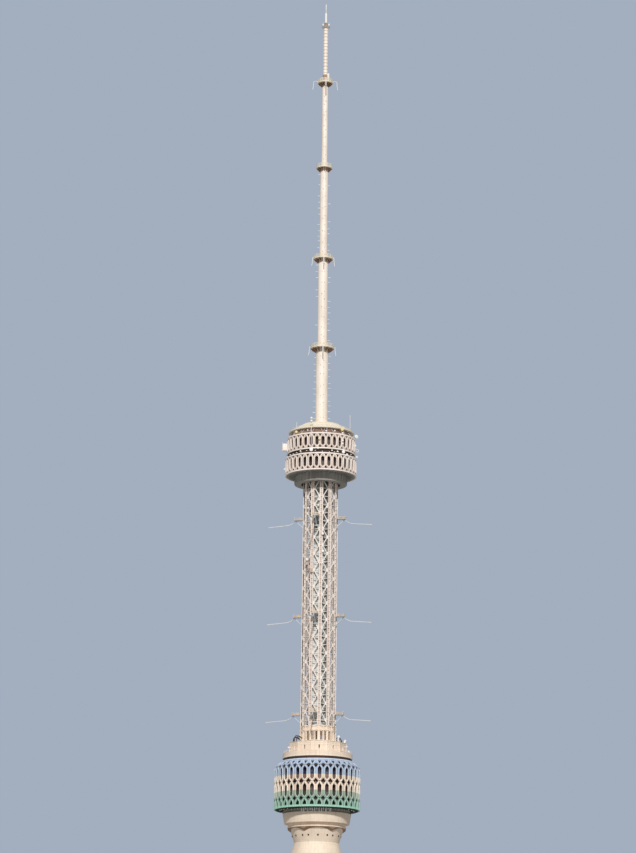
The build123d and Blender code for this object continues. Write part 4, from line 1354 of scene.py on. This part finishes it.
# %% Upper screens
opening_half, rim_proud, rim_height, rim_depth = 54, 12 * mm, 42 * mm, 38 * mm
notch_low, notch_high, notch_depth = 48 * mm, 152 * mm, 46 * mm
for place in ("low", "high"):
    nodes = [f"upper_{place}_screen_{side}" for side in ("front", "back")]
    radius, low, high = reach(nodes[0]), foot(nodes[0]), head(nodes[0])
    rise = high - low
    tall = rise / mm
    wall = (radius - recess, radius - recess, low, high)
    half = bay_half(radius - recess)
    opening = [pointed_opening(opening_half, 115, 165, tall - 165, tall - 115)]
    outline = notched(half, half, rise, [
        (notch_low, notch_low, notch_high, notch_depth),
        (rise - notch_high, rise - notch_low, rise - notch_low, notch_depth)])
    screen = bay_mesh(f"upper_{place}_panels", outline, opening, screen_wall - recess, wall)
    # the panels take the darker recess colour, as painted shade
    hand_over(repeated(screen, upper_recess_shade, around=bays, weld=0.4 * mm), "cream_cladding", *nodes)
    paths = [scaled([(0, 44), (68, 132), (68, tall - 132), (0, tall - 44)])]
    hand_over(ribbons(f"upper_{place}_ribbons", paths, 24 * mm, 22 * mm, wall, upper_enamel),
              "cream_cladding")
    edge = radius + rim_proud
    rims = [turned_piece("rim", [(edge - rim_depth, z), (edge, z), (edge, z + rim_height),
                                 (edge - rim_depth, z + rim_height)], upper_enamel, sides=108)
            for z in (low, high - rim_height)]
    hand_over(joined(f"upper_{place}_rims", rims, upper_enamel), "cream_cladding")

# %% [markdown]
# Under the eaves slim struts lean in pairs, and in the gap between the two rings small white clamps stand
# in a row. The clamps' places waver a little, which a tree could do as well, but a loop is plainer here.

# %% Struts and clamps
gap_low, high_top = head("upper_low_screen_front"), head("upper_high_screen_front")
eaves = foot("upper_roof")
strut_width, strut_foot, strut_head = 9 * mm, 1.10, 1.00
strut_lines = [[(side * 12 * mm, -strut_foot, high_top - 4 * mm),
                (side * 70 * mm, -strut_head, eaves + 4 * mm)] for side in (-1, 1)]
struts = lines_of("gap_struts", strut_lines, upper_enamel, strut_width, strut_width, 6)
hand_over(repeated(struts, upper_enamel, around=bays // 2), "cream_cladding")

clamp_count, clamp_half, clamp_rise = 36, 12 * mm, 26 * mm
chance = Random(7)
clamps = []
for k in range(clamp_count):
    degrees = 360 / clamp_count * k + chance.uniform(-3, 3)
    z = gap_low + chance.uniform(10, 70) * mm
    clamps.append(blocks("clamp", ((-clamp_half, clamp_half), (-1140 * mm, -1060 * mm),
                                   (z, z + clamp_rise)), azimuth=degrees))
hand_over(joined("gap_clamps", clamps, gelcoat), "cream_cladding")

# %% [markdown]
# ## Roof
# The roof is sheet on a frame, with a fold half way up and an upright gutter edge that stands out from the
# eaves. It is turned with its folds left sharp. Standing seams run down its lower slope.

# %% Roof
eaves_radius, roof_top = reach("upper_roof"), head("upper_roof")
eaves_rise, fold_radius, fold_rise = 60 * mm, 590 * mm, 320 * mm
mast_foot_radius, roof_shell = 206 * mm, 30 * mm
gutter_radius, gutter_lip = eaves_radius + 65 * mm, 20 * mm
roof = turned_piece("roof_sheets", [
    (mast_foot_radius, eaves), (eaves_radius, eaves), (gutter_radius, eaves + 12 * mm),
    (gutter_radius, eaves + eaves_rise), (gutter_radius - gutter_lip, eaves + eaves_rise),
    (fold_radius, eaves + fold_rise), (mast_foot_radius + roof_shell, roof_top),
    (mast_foot_radius, roof_top)], roof_sheet, sides=72, smooth=10)
hand_over(roof, "roof_metal", "upper_roof")

# %% Seams and rail of the roof
seam_half, seam_rise, seam_foot = 4 * mm, 10 * mm, eaves_radius - 4 * mm
seam_points = [(x, -r, eaves + z) for x in (-seam_half, seam_half) for r, z in
               ((seam_foot, eaves_rise - 2 * mm), (seam_foot, eaves_rise + seam_rise),
                (fold_radius, fold_rise + seam_rise), (fold_radius, fold_rise - 2 * mm))]
roof_seam = mesh_of("roof_seams", seam_points, prism_faces(4))
hand_over(repeated(roof_seam, roof_sheet, around=bays), "roof_metal")
hand_over(railing("roof_rail", eaves_radius - 26 * mm, eaves + eaves_rise + 8 * mm, 70 * mm, 24,
                  cream_enamel, thick=7 * mm, rings=1), "roof_metal")

# %% [markdown]
# ## Fittings of the upper building
# White dishes stand before the screens, in the gap and under the eaves, and a few have yellowed. A cabinet
# hangs on the left and an empty frame on the right. They are read from the photograph's spots; the few at
# the back are made up in the same way.

# %% Dishes of the upper building
dishes("upper_dishes", [
    (88, 1.18, 22.109, 66), (74, 1.17, 21.730, 35), (88, 1.20, 21.410, 38), (-88, 1.215, 20.943, 30),
    (20, 1.15, 22.044, 25), (5, 1.15, 22.019, 25), (-26, 1.15, 22.055, 22), (35, 1.15, 22.006, 30),
    (35, 1.16, 21.746, 30), (35, 1.16, 21.638, 30), (15, 1.17, 21.367, 26), (25, 1.16, 21.352, 28),
    (45, 1.16, 21.313, 32), (-8, 1.18, 21.415, 22), (-39, 1.16, 21.371, 24), (36, 1.18, 21.366, 55),
    (-19, 1.18, 21.380, 58), (128, 1.17, 21.40, 45), (-140, 1.17, 22.05, 50), (170, 1.17, 21.36, 40)],
    0.98, gelcoat, "cream_cladding")
dishes("yellow_dishes", [(-49, 1.15, 22.052, 45), (34, 1.16, 22.123, 50), (-6, 1.18, 21.745, 38),
                         (150, 1.16, 21.70, 42)], 0.98, old_gelcoat, "cream_cladding")

# %% [markdown]
# The cabinet is two blocks on the wall, turned to the left side. The frame on the right is an eight-sided
# ring on an arm, turned like a port hole and then moved out to its place.

# %% Cabinet and frame
cabinet = blocks("wall_cabinet", ((-55 * mm, 55 * mm), (-1280 * mm, -1120 * mm), (21.57, 21.80)),
                 ((-20 * mm, 60 * mm), (-1300 * mm, -1290 * mm), (21.54, 21.83)), azimuth=-88)
ring_inner, ring_outer, ring_depth, ring_level = 46 * mm, 62 * mm, 24 * mm, 21.639
frame_ring = facing_out([(ring_inner, 0), (ring_outer, 0), (ring_outer, -ring_depth),
                         (ring_inner, -ring_depth)], 0, ring_level, azimuth=20, sides=8, name="frame_ring")
frame_ring.data.transform(Matrix.Translation((1.20, 0, 0)))
frame_arm = blocks("frame_arm", ((-8 * mm, 8 * mm), (-1160 * mm, -1000 * mm), (21.63, 21.65)), azimuth=90)
hand_over(joined("wall_cabinet", [cabinet, frame_ring, frame_arm], upper_enamel), "cream_cladding")

# %% [markdown]
# The pole on the left carries two round housings, and thin whips stand beside the roof. Rods and balls are
# wanted again at the mast's tip, so both are small functions.

# %% Poles and round housings
def rod(x, y, low, high, radius, sides=8):
    """An upright rod at a place."""
    return prisms("rod", (circle(x, y, radius, sides), low, high))


def ball(x, y, z, radius):
    """A small round housing."""
    work = bmesh.new()
    bmesh.ops.create_uvsphere(work, u_segments=16, v_segments=10, radius=radius,
                              matrix=Matrix.Translation((x, y, z)))
    mesh = mesh_from("ball", work)
    mesh.shade_smooth()
    return placed("ball", mesh)


pole_x, pole_y, _ = upright_route(-19, ((1.19, 0),))[0]
whip_x, whip_y = 0.125, -1.184
pole = [rod(pole_x, pole_y, 21.55, 22.465, 9 * mm), ball(pole_x, pole_y, 22.438, 46 * mm),
        ball(pole_x, pole_y, 22.337, 46 * mm), rod(0.94, -0.30, 22.15, 22.78, 7 * mm),
        rod(-0.80, 0.55, 22.15, 22.70, 7 * mm), rod(whip_x, whip_y, 21.55, 22.35, 6 * mm)]
for x, y in ((pole_x, pole_y), (whip_x, whip_y)):
    pole += [blocks("clamp", ((x - 8 * mm, x + 8 * mm), (y, y + 0.10), (z, z + 14 * mm)))
             for z in (21.60, 21.86)]
hand_over(joined("roof_poles", pole, gelcoat), "roof_metal")

# %% [markdown]
# ## Mast tubes
# Each tube is smooth and round, with a bolted flange just under the platform at its head, so its section
# is turned.

# %% Mast tubes
mast_radii = [radius * mm for radius in (206, 166, 133, 102)]
flange_proud, flange_low, flange_high = 12 * mm, 60 * mm, 40 * mm
for number, radius in enumerate(mast_radii, 1):
    node = f"mast_section_{number}"
    low, high, flange = foot(node), head(node), radius + flange_proud
    tube = turned_piece(f"mast_tube_{number}", [
        (0, low), (radius, low), (radius, high - flange_low), (flange, high - flange_low),
        (flange, high - flange_high), (radius, high - flange_high), (radius, high), (0, high)],
        cream_enamel, sides=64)
    hand_over(tube, "cream_steel", node)

# %% [markdown]
# Short step irons stand out of the tubes on both sides, many on the lowest tube and none on the highest,
# and smaller ones on the front and the back. Their pitch and length waver, and some are missing, so they
# are set by a loop with a fixed seed.

# %% Step irons
chance = Random(5)
# share of the irons that each tube has in the rows on its two sides, whose irons are the longer ones
iron_shares, side_iron = (1.0, 0.4, 0.6, 0.0), 50
mast_joints = [head(f"mast_section_{number}") for number in (1, 2, 3, 4)]
first_iron, joint_gap = roof_top + 0.16, 0.12
irons = []
# azimuth, pitch in metres and greatest length in millimetres of each row
for degrees, pitch, longest in ((90, 0.2, 100), (-90, 0.2, 95), (12, 0.31, 30), (-14, 0.37, 30),
                                (180, 0.31, 30)):
    z = first_iron
    while z < mast_joints[-1] - 0.1:
        number = sum(z > joint for joint in mast_joints)
        radius = mast_radii[number]
        out = chance.uniform(0.55, 1) * longest * mm
        half = chance.uniform(6, 10) * mm
        share = iron_shares[number] if longest > side_iron else 1
        if chance.random() < share and min(abs(z - joint) for joint in mast_joints) > joint_gap:
            irons.append(blocks("iron", ((-half, half), (-radius - out, -radius + 6 * mm),
                                         (z - half, z + half)), azimuth=degrees))
        z += pitch * chance.uniform(0.75, 1.25)
hand_over(joined("step_irons", irons, galvanised), "cream_steel")
print(len(irons), "step irons")

# %% [markdown]
# ## Platforms
# A platform is a thin ring on gusset brackets, with a rail. Bent white davits hang over the edge of all but
# the third, for the painters' stages of the real mast, and reach furthest at the top one. The four
# platforms are alike but for their sizes, so each part of one is a small function.

# %% Parts of a platform
platform_radii = [radius * mm for radius in (400, 330, 275, 260)]
platform_sides, deck_thick, deck_lip, bracket_plate = 12, 24 * mm, 8 * mm, 9 * mm


def platform_deck(number, tube_radius, radius, top):
    """Ring with a low lip at its edge."""
    near, low = tube_radius - 2 * mm, top - deck_thick
    return turned_piece(f"platform_deck_{number}", [
        (near, low), (radius, low), (radius, top + deck_lip), (radius - deck_lip, top + deck_lip),
        (radius - deck_lip, top), (near, top)], roof_sheet, sides=48)


def platform_bracket(number, tube_radius, radius, low):
    """Plate that carries a deck from below, from the tube out to near the edge."""
    near, far, drop = tube_radius - 3 * mm, radius - 20 * mm, 130 * mm
    points = [(x, -r, z) for x in (-bracket_plate, bracket_plate) for r, z in
              ((near, low), (far, low), (far, low - 22 * mm), (tube_radius + 8 * mm, low - drop),
               (near, low - drop))]
    return mesh_of(f"platform_brackets_{number}", points, prism_faces(5))


def platform_davits(number, radius, top, out):
    """Four bent arms over the edge of a platform, which reach further out by a given length."""
    arm = ((radius - 60 * mm, top - 4 * mm), (radius - 10 * mm + out / 2, top + 60 * mm),
           (radius + 25 * mm + out, top + 40 * mm), (radius + 40 * mm + out, top - 140 * mm),
           (radius + 60 * mm + out, top - 250 * mm))
    return lines_of(f"platform_davits_{number}", [upright_route(side, arm) for side in (90, -90, 0, 180)],
                    gelcoat, 28 * mm, 20 * mm, 6)


print("platforms reach", [round(radius / mm) for radius in platform_radii], "mm from the axis")

# %% The four platforms
davit_reach = {1: 0, 2: 0, 4: 110 * mm}
for number, (tube_radius, radius) in enumerate(zip(mast_radii, platform_radii), 1):
    top = head(f"mast_section_{number}")
    hand_over(platform_deck(number, tube_radius, radius, top), "cream_steel",
              *(("mast_platforms",) if number == 1 else ()))
    bracket = platform_bracket(number, tube_radius, radius, top - deck_thick)
    # the brackets under each deck get the dark brown cladding: painted shade
    hand_over(repeated(bracket, underside_painted_shade, around=platform_sides), "cream_steel")
    hand_over(railing(f"platform_rail_{number}", radius - 10 * mm, top, 115 * mm, 16, roof_sheet,
                      thick=12 * mm, rings=3), "cream_steel")
    if number in davit_reach:
        hand_over(platform_davits(number, radius, top, davit_reach[number]), "cream_steel")

# %% [markdown]
# ## Antenna
# The antenna is a stack of ribbed covers, enamelled like the mast, round a stained core. One cover is
# turned, and the tree stacks them. At its foot stand a rusted sleeve and a slim white case.

# %% Antenna
antenna_low, antenna_high = foot("antenna"), head("antenna")
antenna_radius, core_radius, hole_radius, antenna_rings = 80 * mm, 60 * mm, 50 * mm, 17
ring_pitch = (antenna_high - antenna_low) / antenna_rings
core = turned_piece("antenna_core", [
    (0, antenna_low), (core_radius, antenna_low), (core_radius, antenna_high), (0, antenna_high)],
    stained_primer, sides=32)
hand_over(core, "antenna_cover", "antenna")

cover_edge, edge_rise, edge_joint = antenna_radius - 8 * mm, 16 * mm, 5 * mm
cover_low, cover_high = antenna_low + edge_joint, antenna_low + ring_pitch - edge_joint
cover = turned_piece("antenna_covers", [
    (hole_radius, cover_low), (cover_edge, cover_low), (antenna_radius, antenna_low + edge_rise),
    (antenna_radius, antenna_low + ring_pitch - edge_rise), (cover_edge, cover_high),
    (hole_radius, cover_high)], cream_enamel, sides=32)
hand_over(repeated(cover, cream_enamel, rows=antenna_rings, rise=ring_pitch), "antenna_cover")

# %% Foot of the antenna
sleeve_low, sleeve_high, sleeve_hole = antenna_low + 40 * mm, antenna_low + 290 * mm, 70 * mm
foot_ring = turned_piece("antenna_foot", [
    (sleeve_hole, sleeve_low), (92 * mm, sleeve_low), (88 * mm, sleeve_high), (sleeve_hole, sleeve_high)],
    rust, sides=24)
hand_over(foot_ring, "cream_steel")
side_case = blocks("antenna_case", ((-24 * mm, 24 * mm), (-150 * mm, -85 * mm),
                                    (antenna_low + 60 * mm, antenna_low + 330 * mm)), azimuth=62)
hand_over(finished(side_case, gelcoat), "antenna_cover")

# %% [markdown]
# ## Tip
# Above the antenna a collar carries two white housings and two thin rods, and a needle with a rod on it
# ends the mast. The needle's whole section is turned in one go. A rusted case round its foot and a band
# round the collar have their own finishes, so they are pieces of their own.

# %% Needle and collar
tip_low, tip_high = foot("mast_tip"), head("mast_tip")
collar_edge, collar_rise, rod_rise, needle_radius = 135 * mm, 30 * mm, 325 * mm, 40 * mm
collar_head, rod_low = tip_low + collar_rise, tip_high - rod_rise
tip = turned_piece("mast_needle", [
    (0, tip_low), (collar_edge, tip_low), (collar_edge, collar_head), (needle_radius, collar_head),
    (needle_radius - 2 * mm, rod_low - 40 * mm), (12 * mm, rod_low), (12 * mm, tip_high - 220 * mm),
    (20 * mm, tip_high - 200 * mm), (18 * mm, tip_high - 20 * mm), (0, tip_high)], gelcoat, sides=32)
hand_over(tip, "cream_steel", "mast_tip")
case_hole = needle_radius - 4 * mm
tip_case = turned_piece("tip_case", [
    (case_hole, collar_head), (70 * mm, collar_head), (62 * mm, tip_low + 170 * mm),
    (case_hole, tip_low + 190 * mm)], rust, sides=24)
hand_over(tip_case, "cream_steel")
band_hole, band_edge = 120 * mm, collar_edge + 4 * mm
collar_band = turned_piece("tip_collar_band", [
    (band_hole, tip_low + 4 * mm), (band_edge, tip_low + 4 * mm), (band_edge, collar_head - 4 * mm),
    (band_hole, collar_head - 4 * mm)], core_sheet, sides=48)
hand_over(collar_band, "cream_steel")

# %% Housings and rods of the tip
lamp_x, lamp_y, rod_foot = 0.10, -0.06, collar_head - 2 * mm
tip_lamps = [ball(x, lamp_y, collar_head + 60 * mm, 36 * mm) for x in (-lamp_x, lamp_x)]
tip_lamps += [rod(x, lamp_y, rod_foot, collar_head + 40 * mm, 8 * mm) for x in (-lamp_x, lamp_x)]
tip_lamps += [rod(x, 0.05, rod_foot, tip_low + 230 * mm, 5 * mm) for x in (-0.10, 0.11)]
hand_over(joined("tip_lamps", tip_lamps, gelcoat), "cream_steel")

# %% [markdown]
# ## Legs and core
# These are below the edge of the photograph. They get the same cladding, with bands where the sheets of
# each storey meet, and a door at the foot of the core.

# %% Bands of the core
core_face, core_sides = reach("core_shaft"), 12
core_low, core_high = foot("core_shaft"), head("core_shaft")
core_half = core_face * tan(pi / core_sides)
core_bands, first_band, band_rise, unbanded = 9, 0.3, 40 * mm, 1.0
band = blocks("core_bands", ((-core_half - 2 * mm, core_half + 2 * mm),
                             (-core_face - 8 * mm, -core_face + 6 * mm),
                             (core_low + first_band, core_low + first_band + band_rise)))
hand_over(repeated(band, cream_sheet, around=core_sides, rows=core_bands,
                   rise=(core_high - core_low - unbanded) / core_bands), "cream_cladding")

# %% Door of the core
door_half, door_rise, door_frame = 55 * mm, 215 * mm, 12 * mm
frame_depth = (-core_face - 10 * mm, -core_face + 6 * mm)
door_head, frame_head = core_low + door_rise, core_low + door_rise + door_frame
door = blocks("core_door",
              ((-door_half, door_half), (-core_face - 4 * mm, -core_face + 6 * mm), (core_low, door_head)),
              ((-door_half - door_frame, -door_half), frame_depth, (core_low, frame_head)),
              ((door_half, door_half + door_frame), frame_depth, (core_low, frame_head)),
              ((-door_half, door_half), frame_depth, (door_head, frame_head)))
hand_over(finished(door, brown_paint), "cream_cladding")

# %% [markdown]
# ## Finish
# The floor gets a plain pale matt finish.

# %% Finish
floor_colour = "#B8B8B6"
floor_mesh.materials.append(weathered("pale_floor", floor_colour, "#C0C1C2", 8.0, 4, 0.9, 0.0))
